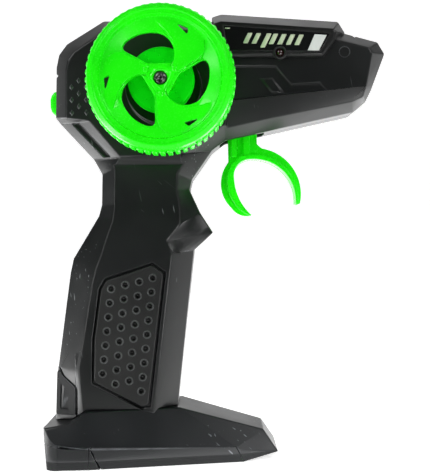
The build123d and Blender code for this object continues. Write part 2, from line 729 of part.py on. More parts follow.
# ---------------------------------------------------------------- trigger
with BuildPart() as trigger:
    # thin outer flange with the stem
    with BuildSketch(Plane.XZ.offset(-flange_half)):
        with BuildLine():
            Line((36.2, trigger_stem_top), (36.2, 115.0))
            Line((36.2, 115.0), (38.0, 113.4))
            ThreePointArc((38.0, 113.4), (47.4, 108.4), (51.8, 92.4))
            Line((51.8, 92.4), (49.9, 92.2))
            ThreePointArc((49.9, 92.2), (44.7, 105.4), (34.0, 109.2))
            ThreePointArc((34.0, 109.2), (29.2, 107.5), (27.4, 102.0))
            ThreePointArc((27.4, 102.0), (29.2, 94.5), (33.7, 88.4))
            ThreePointArc((33.7, 88.4), (30.0, 88.5), (26.2, 91.4))
            ThreePointArc((26.2, 91.4), (22.5, 99.2), (25.4, 108.5))
            Line((25.4, 108.5), (25.4, trigger_stem_top))
            Line((25.4, trigger_stem_top), (36.2, trigger_stem_top))
        make_face()
    extrude(amount=2 * flange_half)
    # wide inner band that the finger pulls
    with BuildSketch(Plane.XZ.offset(-ring_half)):
        with BuildLine():
            ThreePointArc((50.8, 92.3), (46.0, 106.2), (36.0, 111.0))
            Line((36.0, 111.0), (30.0, 110.6))
            Line((30.0, 110.6), (26.4, 107.4))
            ThreePointArc((26.4, 107.4), (25.2, 97.6), (32.4, 88.5))
            Line((32.4, 88.5), (33.7, 88.4))
            ThreePointArc((33.7, 88.4), (29.2, 94.5), (27.4, 102.0))
            ThreePointArc((27.4, 102.0), (29.2, 107.5), (34.0, 109.2))
            ThreePointArc((34.0, 109.2), (44.7, 105.4), (49.9, 92.2))
            Line((49.9, 92.2), (50.8, 92.3))
        make_face()
    extrude(amount=2 * ring_half)
    for low, high in stem_ribs:
        block((low, high), (-stem_rib_half, stem_rib_half), (stem_rib_bottom, trigger_stem_top))
    rods(trigger_centre, trigger_barrel_half, -trigger_barrel_half, trigger_barrel_radius)
    rods(trigger_centre, 6, -6, trigger_pin_radius, mode=Mode.SUBTRACT)
save(trigger, "trigger")

with BuildPart() as trigger_pin:
    rods(trigger_centre, board_face - 0.4, -pin_half, trigger_pin_radius)
save(trigger_pin, "trigger_pin")

with BuildPart() as trigger_spring:
    rods(trigger_centre, *trigger_spring_ends, trigger_spring_radii[1])
    rods(trigger_centre, -5, -7, trigger_spring_radii[0], mode=Mode.SUBTRACT)
save(trigger_spring, "trigger_spring")

with BuildPart() as trigger_sensor:
    along = (trigger_x - trigger_sensor_half, trigger_x + trigger_sensor_half)
    block(along, (trigger_sensor_face, board_face), trigger_sensor_span)
    rods(trigger_centre, board_face + 1, 5, pin_bore, mode=Mode.SUBTRACT)
save(trigger_sensor, "trigger_sensor")

# ---------------------------------------------------------------- power button
half_button = button_height / 2
reach = button_width / 2 + button_flange
rise = half_button + button_flange
button_side = [
    (button_back, button_z + half_button),
    (button_face + button_dome, button_z + half_button),
    (button_face + 0.5, button_z + half_button - 1.3),
    (button_face, button_z + half_button - 3.0),
    (button_face, button_z - half_button + 3.0),
    (button_face + 0.5, button_z - half_button + 1.3),
    (button_face + button_dome, button_z - half_button),
    (button_back, button_z - half_button),
]
with BuildPart() as power_button:
    slab(button_side, button_width / 2, -button_width / 2)
    block((button_back, button_flange_end), (-reach, reach), (button_z - rise, button_z + rise))
save(power_button, "power_button")

button_axes = Plane(origin=(0, 0, button_z), x_dir=(0, 1, 0), z_dir=(1, 0, 0))
with BuildPart() as switch_plunger:
    with BuildSketch(button_axes.offset(button_flange_end)):
        Circle(button_stem_radius)
    extrude(amount=button_stem_length)
save(switch_plunger, "switch_plunger")

with BuildPart() as power_switch:
    body_span = (button_z - switch_half, button_z + switch_half)
    block((switch_x, switch_x + switch_depth), (-switch_half, switch_half), body_span)
    with BuildSketch(button_axes.offset(switch_x)):
        Circle(button_stem_radius + running_fit)
    extrude(amount=2.4, mode=Mode.SUBTRACT)
save(power_switch, "power_switch")

with BuildPart() as switch_board:
    board_rear = switch_x + switch_depth
    along = (board_rear, board_rear + switch_board_thickness)
    block(along, (-8.5, 8.5), (button_z - 7.5, button_z + 8.5))
save(switch_board, "switch_board")

# ---------------------------------------------------------------- electronics
board_outline = [(-14, 122), (22, 122), (40, 125), (58, 129.5), (58, 150), (-14, 151)]
with BuildPart() as main_board:
    slab(board_outline, board_back, board_face)
    rods(board_screw_places, board_back + 1, board_face - 1, screw_radius + 0.2, mode=Mode.SUBTRACT)
save(main_board, "main_board")

with BuildPart() as board_screws:
    rods(board_screw_places, board_boss_end, board_face - 0.5, screw_radius)
    rods(board_screw_places, board_face, board_face - screw_head_height, 2.0)
save(board_screws, "board_screws")

with BuildPart() as radio_module:
    block((42, 56), (radio_board_face, board_face), (131.2, 143.4))
    block((43, 51), (radio_can_face, radio_board_face), (132.6, 142.4))
save(radio_module, "radio_module")

with BuildPart() as control_chip:
    block((14, 24), (chip_face, board_face), (136, 145))
save(control_chip, "control_chip")

with BuildPart() as board_parts:
    rods([(-9.5, 127.5), (34.5, 141.5)], board_face, capacitor_end, capacitor_radius)
    block((26.5, 31.5), (crystal_face, board_face), (144.5, 147.5))
    block((32.5, 38.0), (plug_face, board_face), (146.2, 149.4))
    for x, z in ((-9.0, 141.5), (-5.5, 141.5), (16.0, 147.6), (20.0, 147.6)):
        block((x, x + 2.0), (resistor_face, board_face), (z, z + 1.2))
save(board_parts, "board_parts")

red_route = [
    (-14, -2.2, 13.4),
    (-14.4, -2.0, 30),
    (-11.0, -1.6, 52),
    (-7.0, -1.4, 72),
    (-4.0, -0.6, 88),
    (-5.6, 2.4, 101),
    (-10.2, 8.8, 110),
    (-10.8, 8.8, 122),
]
red_lead = bent_wire(red_route, wire_radius)
save(red_lead, "battery_lead_red")

black_route = [
    (-10.5, 2.2, 13.4),
    (-10.6, 2.6, 28),
    (-8.6, 1.8, 48),
    (-4.0, 1.2, 68),
    (-0.6, 2.0, 86),
    (-1.4, 4.4, 100),
    (-6.2, 8.8, 110),
    (-6.6, 8.8, 122),
]
black_lead = bent_wire(black_route, wire_radius)
save(black_lead, "battery_lead_black")

antenna_route = [
    (56, 7.4, 140.5),
    (64, 6.8, 140.2),
    (70.5, 5.0, 138.2),
    (75, 2.0, 141.5),
    (77.0, 0.4, 147),
]
antenna = bent_wire(antenna_route, antenna_radius)
save(antenna, "antenna_wire")
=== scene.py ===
"""Looks of a pistol-grip radio handset for a toy vehicle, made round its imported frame.

Lengths in the dataclass fields are millimetres in the frame's own axes: +X to the nose, +Z up and -Y
the side that carries the steering wheel. Meshes are made in metres.
"""

from __future__ import annotations

import logging
import math
from dataclasses import dataclass
from enum import Enum
from typing import Any, Callable, Iterable, Sequence

import bmesh
import bpy
from mathutils import Matrix, Vector


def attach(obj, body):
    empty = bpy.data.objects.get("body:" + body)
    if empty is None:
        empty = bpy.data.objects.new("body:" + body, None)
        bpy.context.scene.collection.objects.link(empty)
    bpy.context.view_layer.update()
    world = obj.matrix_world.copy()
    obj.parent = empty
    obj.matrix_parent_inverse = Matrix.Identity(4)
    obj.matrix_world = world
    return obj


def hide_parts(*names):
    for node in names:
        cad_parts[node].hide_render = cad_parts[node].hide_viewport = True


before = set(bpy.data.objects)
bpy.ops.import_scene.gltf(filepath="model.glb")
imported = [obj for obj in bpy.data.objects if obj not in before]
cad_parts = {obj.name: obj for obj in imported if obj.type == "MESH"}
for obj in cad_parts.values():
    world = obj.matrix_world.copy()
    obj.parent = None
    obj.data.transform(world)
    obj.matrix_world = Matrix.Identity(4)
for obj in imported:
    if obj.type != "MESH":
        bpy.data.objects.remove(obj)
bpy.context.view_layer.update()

MM = 0.001
LOG = logging.getLogger("handset")

Point = tuple[float, float]
Place = tuple[float, float, float]
Colour = tuple[float, float, float]
Mesh = bpy.types.Mesh
Piece = bpy.types.Object


class Body(str, Enum):
    """The bodies that pieces ride on."""

    ROOT = "root"
    STEERING = "steering"
    TRIGGER = "trigger_body"
    BUTTON = "button"
    DOOR = "door"


class Side(Enum):
    """The two sides of the handset, by the sign of Y."""

    RIGHT = -1
    LEFT = 1


# ---------------------------------------------------------------- outlines
def fillet(points: Sequence[Point], radius: float, steps: int = 4) -> list[Point]:
    """Round every corner of a closed outline.

    Args:
        points: The corners in order.
        radius: The largest rounding, cut down at short edges.
        steps: Segments of each rounding.

    Returns:
        The rounded outline.
    """
    smooth: list[Point] = []
    count = len(points)
    for index, corner in enumerate(points):
        here = Vector(corner)
        back = Vector(points[index - 1]) - here
        ahead = Vector(points[(index + 1) % count]) - here
        angle = back.angle(ahead)
        if angle > math.radians(176):
            smooth.append(corner)
            continue
        reach = min(radius / math.tan(angle / 2), 0.48 * back.length, 0.48 * ahead.length)
        start = here + back.normalized() * reach
        end = here + ahead.normalized() * reach
        for step in range(steps + 1):
            t = step / steps
            bend = start * (1 - t) ** 2 + here * 2 * t * (1 - t) + end * t**2
            smooth.append((bend.x, bend.y))
    return smooth


def flowing(points: Sequence[Point], steps: int = 6) -> list[Point]:
    """A closed smooth outline through given points.

    Args:
        points: The points that it passes through.
        steps: Segments between two points.

    Returns:
        The sampled outline.
    """
    smooth: list[Point] = []
    count = len(points)
    for index in range(count):
        before, here, after, beyond = (Vector(points[(index + shift) % count]) for shift in (-1, 0, 1, 2))
        for step in range(steps):
            t = step / steps
            place = 0.5 * (
                2 * here
                + (after - before) * t
                + (2 * before - 5 * here + 4 * after - beyond) * t**2
                + (3 * here - before - 3 * after + beyond) * t**3
            )
            smooth.append((place.x, place.y))
    return smooth


def turned_about(points: Iterable[Point], degrees: float, centre: Point = (0, 0)) -> list[Point]:
    """An outline turned about the origin and then moved to a centre.

    Args:
        points: The outline.
        degrees: The turn from +X towards +Z.
        centre: Where the origin goes.

    Returns:
        The turned outline.
    """
    cosine, sine = math.cos(math.radians(degrees)), math.sin(math.radians(degrees))
    return [(centre[0] + x * cosine - z * sine, centre[1] + x * sine + z * cosine) for x, z in points]


# ---------------------------------------------------------------- meshes
def piece_from(name: str, mesh: Mesh) -> Piece:
    """A new object at the origin that holds a mesh."""
    piece = bpy.data.objects.new(name, mesh)
    bpy.context.scene.collection.objects.link(piece)
    return piece


def mesh_from(name: str, form: bmesh.types.BMesh, smooth: bool = True) -> Mesh:
    """Turn a bmesh in metres into a mesh whose faces point outwards.

    Args:
        name: The mesh's name.
        form: The bmesh, which is used up.
        smooth: Whether its faces are shaded smooth.

    Returns:
        The mesh.
    """
    bmesh.ops.recalc_face_normals(form, faces=form.faces)
    mesh = bpy.data.meshes.new(name)
    form.to_mesh(mesh)
    form.free()
    mesh.polygons.foreach_set("use_smooth", [smooth] * len(mesh.polygons))
    return mesh


def settled(piece: Piece) -> Piece:
    """Give a piece the mesh that its modifiers make, and remove them.

    Args:
        piece: The piece.

    Returns:
        The same piece.
    """
    bpy.context.view_layer.update()
    result = piece.evaluated_get(bpy.context.evaluated_depsgraph_get())
    mesh = bpy.data.meshes.new_from_object(result)
    piece.modifiers.clear()
    piece.data = mesh
    return piece


def lathe(name: str, profile: Sequence[Point], centre: Point, steps: int = 96) -> Mesh:
    """Turn a closed (radius, y) profile about an axis along Y.

    Args:
        name: The mesh's name.
        profile: Radius and Y of each point; a radius of 0 makes a pole.
        centre: X and Z of the axis.
        steps: Segments round the axis.

    Returns:
        A closed mesh.
    """
    form = bmesh.new()
    rings: list[list[bmesh.types.BMVert]] = []
    for radius, y in profile:
        around = steps if radius > 1e-6 else 1
        rings.append(
            [
                form.verts.new(
                    Vector(
                        (
                            centre[0] + radius * math.cos(math.tau * step / steps),
                            y,
                            centre[1] + radius * math.sin(math.tau * step / steps),
                        )
                    )
                    * MM
                )
                for step in range(around)
            ]
        )
    for ring, following in zip(rings, rings[1:] + rings[:1]):
        if len(ring) == 1 and len(following) == 1:
            continue
        for step in range(steps):
            corners = [ring[step % len(ring)], ring[(step + 1) % len(ring)]]
            corners += [following[(step + 1) % len(following)], following[step % len(following)]]
            unique = list(dict.fromkeys(corners))
            form.faces.new(unique)
    return mesh_from(name, form)


def level(_x: float, _z: float) -> float:
    """The height of a level base: none anywhere."""
    return 0.0


def prism(
    name: str, points: Sequence[Point], near: float, far: float, rim: float = 0.0, steps: int = 2,
    base: Callable[[float, float], float] = level,
) -> Mesh:
    """An (x, z) outline made solid between two depths, with rounded rims.

    Args:
        name: The mesh's name.
        points: The outline.
        near: One Y limit.
        far: The other Y limit.
        rim: Width of the rounding along both faces, or 0 for none.
        steps: Segments of that rounding.
        base: Y of the surface that the depths count from, at an x and z.

    Returns:
        A closed mesh.
    """
    form = bmesh.new()
    loops = [[form.verts.new(Vector((x, y + base(x, z), z)) * MM) for x, z in points] for y in (near, far)]
    caps = [form.faces.new(loop) for loop in loops]
    count = len(points)
    for index in range(count):
        after = (index + 1) % count
        form.faces.new((loops[0][index], loops[0][after], loops[1][after], loops[1][index]))
    bmesh.ops.recalc_face_normals(form, faces=form.faces)
    if rim:
        edges = [edge for cap in caps for edge in cap.edges]
        bmesh.ops.bevel(form, geom=edges, offset=rim * MM, segments=steps, profile=0.5, affect="EDGES")
    return mesh_from(name, form)


def block(name: str, low: Place, high: Place, rim: float, steps: int = 2) -> Mesh:
    """A box with every edge rounded.

    Args:
        name: The mesh's name.
        low: Its lowest corner.
        high: Its highest corner.
        rim: Width of the rounding.
        steps: Segments of the rounding.

    Returns:
        A closed mesh.
    """
    form = bmesh.new()
    size = Vector(high) - Vector(low)
    middle = (Vector(high) + Vector(low)) / 2
    shape = Matrix.Translation(middle * MM) @ Matrix.Diagonal((*(size * MM), 1))
    bmesh.ops.create_cube(form, size=1, matrix=shape)
    bmesh.ops.bevel(form, geom=form.edges[:], offset=rim * MM, segments=steps, profile=0.5, affect="EDGES")
    return mesh_from(name, form)


def joined(name: str, meshes: Iterable[Mesh]) -> Mesh:
    """Put several meshes together as one, keeping their closed forms apart.

    Args:
        name: The new mesh's name.
        meshes: The meshes.

    Returns:
        One mesh.
    """
    form = bmesh.new()
    for mesh in meshes:
        form.from_mesh(mesh)
    whole = bpy.data.meshes.new(name)
    form.to_mesh(whole)
    form.free()
    return whole


class Cut(str, Enum):
    """How a second solid changes a first."""

    ADD = "UNION"
    REMOVE = "DIFFERENCE"


def combined(piece: Piece, other: Mesh, cut: Cut) -> Piece:
    """Add a solid to a piece, or cut it away.

    Args:
        piece: The piece that changes.
        other: The mesh of the other solid.
        cut: Whether it is added or removed.

    Returns:
        The piece, with its new mesh.
    """
    tool = piece_from("tool", other)
    modifier = piece.modifiers.new("combine", "BOOLEAN")
    modifier.operation = cut.value
    modifier.solver = "EXACT"
    modifier.object = tool
    settled(piece)
    bpy.data.objects.remove(tool)
    return piece


def evened(piece: Piece) -> Piece:
    """Shade the large flat faces of a smooth piece flat, its narrow ones as roundings.

    Args:
        piece: The piece.

    Returns:
        The same piece.
    """
    even = piece.modifiers.new("flat faces", "WEIGHTED_NORMAL")
    even.keep_sharp = True
    even.weight = 100
    return settled(piece)


def rounded_edges(piece: Piece, width: float, shortest: float, angle: float, steps: int = 2) -> Piece:
    """Round the sharp edges of a piece and shade its flat sides flat.

    Args:
        piece: A piece with a merged mesh.
        width: Width of the rounding.
        shortest: Edges under this length stay sharp.
        angle: Edges that turn by less than this, in degrees, stay as they are.
        steps: Segments of the rounding.

    Returns:
        The piece, with its new mesh.
    """
    form = bmesh.new()
    form.from_mesh(piece.data)
    many_sided = [face for face in form.faces if len(face.verts) > 4]
    bmesh.ops.triangulate(form, faces=many_sided, ngon_method="BEAUTY")
    weight = form.edges.layers.float.new("bevel_weight_edge")
    for edge in form.edges:
        if len(edge.link_faces) == 2 and edge.calc_face_angle(0) > math.radians(angle):
            rounded = edge.calc_length() > shortest * MM
            edge[weight] = float(rounded)
            edge.smooth = rounded
    for face in form.faces:
        face.smooth = True
    form.to_mesh(piece.data)
    form.free()
    bevel = piece.modifiers.new("rounding", "BEVEL")
    bevel.limit_method = "WEIGHT"
    bevel.width = width * MM
    bevel.segments = steps
    bevel.use_clamp_overlap = False
    bevel.loop_slide = False
    bevel.miter_outer = "MITER_ARC"
    split = piece.modifiers.new("flat sides", "WEIGHTED_NORMAL")
    split.keep_sharp = True
    split.weight = 90
    return settled(piece)


def softened(node: str, width: float, shortest: float = 1.3, angle: float = 20.0) -> Piece:
    """A merged copy of a CAD node with its long sharp edges rounded.

    Args:
        node: The CAD node.
        width: Width of the rounding.
        shortest: Edges under this length stay sharp.
        angle: The least turn of an edge that is rounded, in degrees.

    Returns:
        The new piece.
    """
    form = bmesh.new()
    form.from_mesh(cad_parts[node].data)
    bmesh.ops.remove_doubles(form, verts=form.verts, dist=0.002 * MM)
    bmesh.ops.dissolve_limit(form, angle_limit=math.radians(0.5), verts=form.verts, edges=form.edges)
    mesh = bpy.data.meshes.new(f"{node}_soft")
    form.to_mesh(mesh)
    form.free()
    return rounded_edges(piece_from(f"{node}_soft", mesh), width, shortest, angle)


def finished(piece: Piece, body: Body, finish: Finish, nodes: Sequence[str] = ()) -> Piece:
    """Dress a piece and tie it to the frame.

    Args:
        piece: The piece.
        body: The body that it rides on.
        finish: What it is made of.
        nodes: The CAD nodes that it stands for.

    Returns:
        The same piece.
    """
    piece.data.materials.clear()
    piece.data.materials.append(finish.material())
    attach(piece, body.value)
    if nodes:
        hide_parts(*nodes)
    LOG.info("%s: %d faces on %s", piece.name, len(piece.data.polygons), body.value)
    return piece


def dressed(finish: Finish, *nodes: str) -> None:
    """Give CAD nodes that stay a better material.

    Args:
        finish: What they are made of.
        nodes: The nodes' names.
    """
    for node in nodes:
        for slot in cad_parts[node].material_slots:
            slot.material = finish.material()
        LOG.info("%s: dressed", node)


# ---------------------------------------------------------------- finishes
def added_node(
    tree: bpy.types.NodeTree, kind: str, inputs: dict[Any, Any], settings: dict[str, Any]
) -> bpy.types.Node:
    """Add a node to a tree.

    Args:
        tree: The tree.
        kind: The node's full type name.
        inputs: Values or sockets, by input name or number.
        settings: The node's own properties.

    Returns:
        The node.
    """
    node = tree.nodes.new(kind)
    for name, value in settings.items():
        setattr(node, name, value)
    for name, value in inputs.items():
        if isinstance(value, bpy.types.NodeSocket):
            tree.links.new(value, node.inputs[name])
        else:
            node.inputs[name].default_value = value
    return node


class Shader:
    """A material's node tree under construction."""

    def __init__(self, name: str) -> None:
        """Start a material with a plain shader.

        Args:
            name: The material's name.
        """
        self.material = bpy.data.materials.new(name)
        self.material.use_nodes = True
        self.surface = self.material.node_tree.nodes["Principled BSDF"]
        self.place = self.add("TexCoord", {}).outputs["Object"]

    def add(self, kind: str, inputs: dict[Any, Any], **settings: Any) -> bpy.types.Node:
        """Add a node.

        Args:
            kind: The node's type without its ShaderNode prefix.
            inputs: Values or sockets, by input name or number.
            settings: The node's own properties.

        Returns:
            The node.
        """
        return added_node(self.material.node_tree, f"ShaderNode{kind}", inputs, settings)

    def set(self, **values: Any) -> None:
        """Set or link the shader's own inputs.

        Args:
            values: Values or sockets, by input name with underscores for spaces.
        """
        for name, value in values.items():
            socket = self.surface.inputs[name.replace("_", " ")]
            if isinstance(value, bpy.types.NodeSocket):
                self.material.node_tree.links.new(value, socket)
            else:
                socket.default_value = value

    def noise(self, size: float, detail: float = 2.0, place: Any = None) -> Any:
        """A noise pattern.

        Args:
            size: About how large its blobs are.
            detail: How many finer layers it has.
            place: The coordinates that it follows, or None for the object's own.

        Returns:
            The pattern's socket.
        """
        inputs = {"Vector": place or self.place, "Scale": 1 / (size * MM), "Detail": detail}
        return self.add("TexNoise", inputs).outputs["Fac"]

    def spread(self, source: Any, low: float, high: float, to_low: float = 0.0, to_high: float = 1.0) -> Any:
        """Map a range of one value onto another, held at its ends.

        Args:
            source: The value's socket.
            low: Where the range starts.
            high: Where it ends.
            to_low: What its start becomes.
            to_high: What its end becomes.

        Returns:
            The new value's socket.
        """
        inputs = {"Value": source, "From Min": low, "From Max": high, "To Min": to_low, "To Max": to_high}
        return self.add("MapRange", inputs).outputs["Result"]

    def maths(self, operation: str, first: Any, second: Any) -> Any:
        """One sum of two values."""
        return self.add("Math", {0: first, 1: second}, operation=operation).outputs[0]

    def blend(self, factor: Any, first: Any, second: Any) -> Any:
        """Mix two colours.

        Args:
            factor: The second colour's share, from 0 to 1.
            first: A colour or its socket.
            second: The other colour or its socket.

        Returns:
            The mixed colour's socket.
        """
        colours = {
            index: colour if isinstance(colour, bpy.types.NodeSocket) else (*colour, 1.0)
            for index, colour in ((6, first), (7, second))
        }
        return self.add("Mix", {0: factor, **colours}, data_type="RGBA").outputs[2]

    def stretched(self, scale: Place, turn: Place = (0, 0, 0)) -> Any:
        """The object's coordinates, drawn out along turned axes.

        Args:
            scale: The factor along each axis.
            turn: The turn of the axes, in degrees.

        Returns:
            The coordinates' socket.
        """
        angles = tuple(math.radians(angle) for angle in turn)
        inputs = {"Vector": self.place, "Scale": scale, "Rotation": angles}
        return self.add("Mapping", inputs, vector_type="TEXTURE").outputs["Vector"]

    def strokes(self, length: float, width: float, turn: Place, share: float) -> Any:
        """Short scratches that all lean one way.

        Args:
            length: Their length.
            width: Their width.
            turn: How they lean, in degrees about each axis.
            share: How many there are, from 0 to 1.

        Returns:
            A mask.
        """
        along = self.stretched((length / width, 1.0, 1.0), turn)
        marks = self.noise(width * 2.4, 0.0, along)
        patches = self.spread(self.noise(19.0, 1.0), 0.64 - 0.14 * share, 0.70 - 0.14 * share)
        return self.maths("MULTIPLY", self.spread(marks, 0.79 - 0.05 * share, 0.83 - 0.05 * share), patches)

    def worn_and_highlit_edges(self, radius: float) -> Any:
        """A mask of the places where the surface turns, which lightens edges as wear and as a painted edge
        highlight.

        Args:
            radius: How near an edge has to be.

        Returns:
            The mask's socket.
        """
        soft = self.add("Bevel", {"Radius": radius * MM}, samples=6).outputs["Normal"]
        true = self.add("NewGeometry", {}).outputs["Normal"]
        turn = self.add("VectorMath", {0: soft, 1: true}, operation="DOT_PRODUCT").outputs["Value"]
        return self.spread(turn, 0.995, 0.90)

    def bumps(self, height: Any, depth: float, strength: float = 1.0) -> None:
        """Raise the surface by a height pattern.

        Args:
            height: The pattern's socket.
            depth: How high it rises.
            strength: Its share, from 0 to 1.
        """
        inputs = {"Height": height, "Distance": depth * MM, "Strength": strength}
        self.set(Normal=self.add("Bump", inputs).outputs["Normal"])


@dataclass(frozen=True)
class Finish:
    """What a surface is made of; made once and shared."""

    name: str
    colour: Colour
    roughness: float

    def material(self) -> bpy.types.Material:
        """The material, made at its first use."""
        known = bpy.data.materials.get(self.name)
        if known:
            return known
        shader = Shader(self.name)
        self.paint(shader)
        return shader.material

    def paint(self, shader: Shader) -> None:
        """Set up the shader: colour that varies a little, and an even roughness.

        Args:
            shader: The material under construction.
        """
        cloud = shader.noise(9.0)
        darker = tuple(channel * 0.8 for channel in self.colour)
        shader.set(Base_Color=shader.blend(cloud, darker, self.colour))
        shader.set(Roughness=shader.spread(cloud, 0.3, 0.7, self.roughness * 0.88, self.roughness * 1.1))


@dataclass(frozen=True)
class MouldedPlastic(Finish):
    """Moulded plastic with a fine eroded grain, cloudy sheen, lighter edges and scratches; the lighter edges
    are partly rubbed wear and partly a painted highlight.
    """

    # Colour of scratches and of the lighter edges; on edges it is partly wear and partly a painted highlight.
    wear_and_highlight_colour: Colour = (0.2, 0.2, 0.2)
    grain: float = 0.35
    depth: float = 0.02
    edge_wear_and_highlight_share: float = 0.35
    scratches: float = 0.0
    sheen: float = 0.5

    def paint(self, shader: Shader) -> None:
        """Layer cloud, lighter edges and scratches, and add the grain; the lighter edges are partly rubbed
        wear and partly a painted highlight.

        Args:
            shader: The material under construction.
        """
        cloud = shader.noise(22.0, 3.0)
        lighter = tuple(channel * 1.35 for channel in self.colour)
        colour = shader.blend(shader.spread(cloud, 0.35, 0.68), self.colour, lighter)
        broken = shader.spread(shader.noise(3.2, 3.0), 0.30, 0.62, 0.35, 1.0)
        # Edges lighten towards the wear colour wherever the surface turns: partly rubbed wear, partly a
        # painted edge highlight.
        edge_wear_and_highlight = shader.maths("MULTIPLY", shader.worn_and_highlit_edges(0.45), broken)
        wear_and_highlight = shader.maths("MULTIPLY", edge_wear_and_highlight, self.edge_wear_and_highlight_share)
        if self.scratches:
            upright = shader.strokes(3.6, 0.34, (0, 78, 0), self.scratches)
            leaning = shader.strokes(2.6, 0.26, (0, 42, 0), self.scratches * 0.6)
            scratched = shader.maths("MAXIMUM", upright, leaning)
            wear_and_highlight = shader.maths("MAXIMUM", wear_and_highlight, shader.maths("MULTIPLY", scratched, 0.6))
        shader.set(Base_Color=shader.blend(wear_and_highlight, colour, self.wear_and_highlight_colour))
        shader.set(Roughness=shader.spread(cloud, 0.3, 0.75, self.roughness - 0.05, self.roughness + 0.07))
        shader.set(Specular_IOR_Level=self.sheen)
        coarse = shader.noise(self.grain, 3.0)
        shader.bumps(coarse, self.depth, 0.6)


@dataclass(frozen=True)
class NeonPlastic(Finish):
    """Fluorescent glossy plastic with a painted glow: a little light of its own colour, given off under any
    lamp.
    """

    # Strength of the painted glow.
    glow: float = 0.12
    speck: float = 0.6
    gloss: float = 0.30

    def paint(self, shader: Shader) -> None:
        """Deepen the colour in clouds, leave the gloss slightly uneven and add the painted glow.

        Args:
            shader: The material under construction.
        """
        cloud = shader.noise(14.0, 2.0)
        deeper = (self.colour[0] * 0.6, self.colour[1] * 0.86, self.colour[2])
        shader.set(Base_Color=shader.blend(shader.spread(cloud, 0.3, 0.7), deeper, self.colour))
        fine = shader.noise(self.speck, 2.0)
        shader.set(Roughness=shader.spread(fine, 0.3, 0.7, self.roughness - 0.04, self.roughness + 0.06))
        # Painted glow: emission in the plastic's own colour that brightens it whatever the lamps.
        shader.set(Emission_Color=(*self.colour, 1.0), Emission_Strength=self.glow)
        shader.set(Specular_IOR_Level=self.gloss, Coat_Weight=0.08, Coat_Roughness=0.12)
        shader.bumps(fine, 0.008, 0.4)


@dataclass(frozen=True)
class Metal(Finish):
    """Plated or brushed metal."""

    brushing: float = 0.5

    def paint(self, shader: Shader) -> None:
        """Brush it along X and tarnish it in clouds.

        Args:
            shader: The material under construction.
        """
        cloud = shader.noise(4.0, 2.0)
        darker = tuple(channel * 0.7 for channel in self.colour)
        shader.set(Base_Color=shader.blend(cloud, darker, self.colour), Metallic=1.0)
        lines = shader.noise(0.25, 2.0, shader.stretched((16.0, 1.0, 1.0)))
        shader.set(Roughness=shader.spread(lines, 0.2, 0.8, self.roughness * 0.8, self.roughness * 1.25))
        shader.bumps(lines, 0.01, self.brushing)


@dataclass(frozen=True)
class Lens(Finish):
    """Clear coloured plastic over a lamp."""

    def paint(self, shader: Shader) -> None:
        """Let light into it and keep its face glossy.

        Args:
            shader: The material under construction.
        """
        shader.set(Base_Color=shader.blend(shader.noise(1.2), self.colour, (0.03, 0.006, 0.006)))
        shader.set(Roughness=self.roughness, Transmission_Weight=0.1, Coat_Weight=0.8)


@dataclass(frozen=True)
class Circuit(Finish):
    """A lacquered circuit board with copper tracks under the lacquer."""

    def paint(self, shader: Shader) -> None:
        """Draw square tracks from a brick pattern and pads from a cell pattern.

        Args:
            shader: The material under construction.
        """
        flat = shader.stretched((1.0, 1.0, 1.0), (90, 0, 0))
        sizes = {"Vector": flat, "Scale": 220.0, "Mortar Size": 0.035, "Brick Width": 0.9, "Row Height": 0.42}
        tracks = shader.add("TexBrick", sizes).outputs["Fac"]
        cells = shader.add("TexVoronoi", {"Vector": shader.place, "Scale": 260.0}).outputs["Distance"]
        pads = shader.spread(cells, 0.24, 0.20)
        lighter = tuple(channel * 1.9 for channel in self.colour)
        board = shader.blend(tracks, self.colour, lighter)
        shader.set(Base_Color=shader.blend(pads, board, (0.62, 0.60, 0.52)))
        shader.set(Roughness=self.roughness, Coat_Weight=0.4)
        shader.bumps(tracks, 0.03, 0.5)


@dataclass(frozen=True)
class CellWrap(Finish):
    """The printed sleeve of a dry cell: two plain bands and bare metal ends."""

    band: Colour = (0.62, 0.30, 0.06)
    band_from: float = -2.0
    metal_from: float = 12.1
    blur: float = 0.1

    def paint(self, shader: Shader) -> None:
        """Change the colour along X at the band and at the bare end.

        Args:
            shader: The material under construction.
        """
        along = shader.add("SeparateXYZ", {"Vector": shader.place}).outputs["X"]
        band = shader.spread(along, self.band_from * MM, (self.band_from + self.blur) * MM)
        bare = shader.spread(along, self.metal_from * MM, (self.metal_from + self.blur) * MM)
        sleeve = shader.blend(band, self.colour, self.band)
        scuffs = shader.spread(shader.noise(3.0, 3.0), 0.60, 0.75, 0.0, 0.3)
        scuffed = shader.blend(scuffs, sleeve, (0.5, 0.5, 0.5))
        shader.set(Base_Color=shader.blend(bare, scuffed, (0.7, 0.7, 0.68)), Metallic=bare)
        shader.set(Roughness=self.roughness)


SHELL = MouldedPlastic(
    "shell_plastic", (0.0045, 0.0052, 0.0053), 0.34, wear_and_highlight_colour=(0.21, 0.22, 0.23), edge_wear_and_highlight_share=0.5, scratches=0.22,
    sheen=0.42,
)
FOOT = MouldedPlastic(
    "foot_plastic", (0.0045, 0.0052, 0.0064), 0.38, wear_and_highlight_colour=(0.19, 0.20, 0.22), edge_wear_and_highlight_share=0.4, scratches=0.3,
    sheen=0.4,
)
HOOD = MouldedPlastic(
    "hood_plastic", (0.0056, 0.0058, 0.0058), 0.34, wear_and_highlight_colour=(0.18, 0.18, 0.18), edge_wear_and_highlight_share=0.45, sheen=0.4
)
LUG = MouldedPlastic(
    "lug_plastic", (0.0045, 0.0050, 0.0054), 0.5, wear_and_highlight_colour=(0.16, 0.17, 0.18), edge_wear_and_highlight_share=0.5, sheen=0.15
)
RUBBER = MouldedPlastic(
    "pad_rubber", (0.0053, 0.0056, 0.0054), 0.46, wear_and_highlight_colour=(0.14, 0.15, 0.15), grain=0.5, depth=0.05,
    edge_wear_and_highlight_share=0.6, scratches=0.35, sheen=0.4,
)
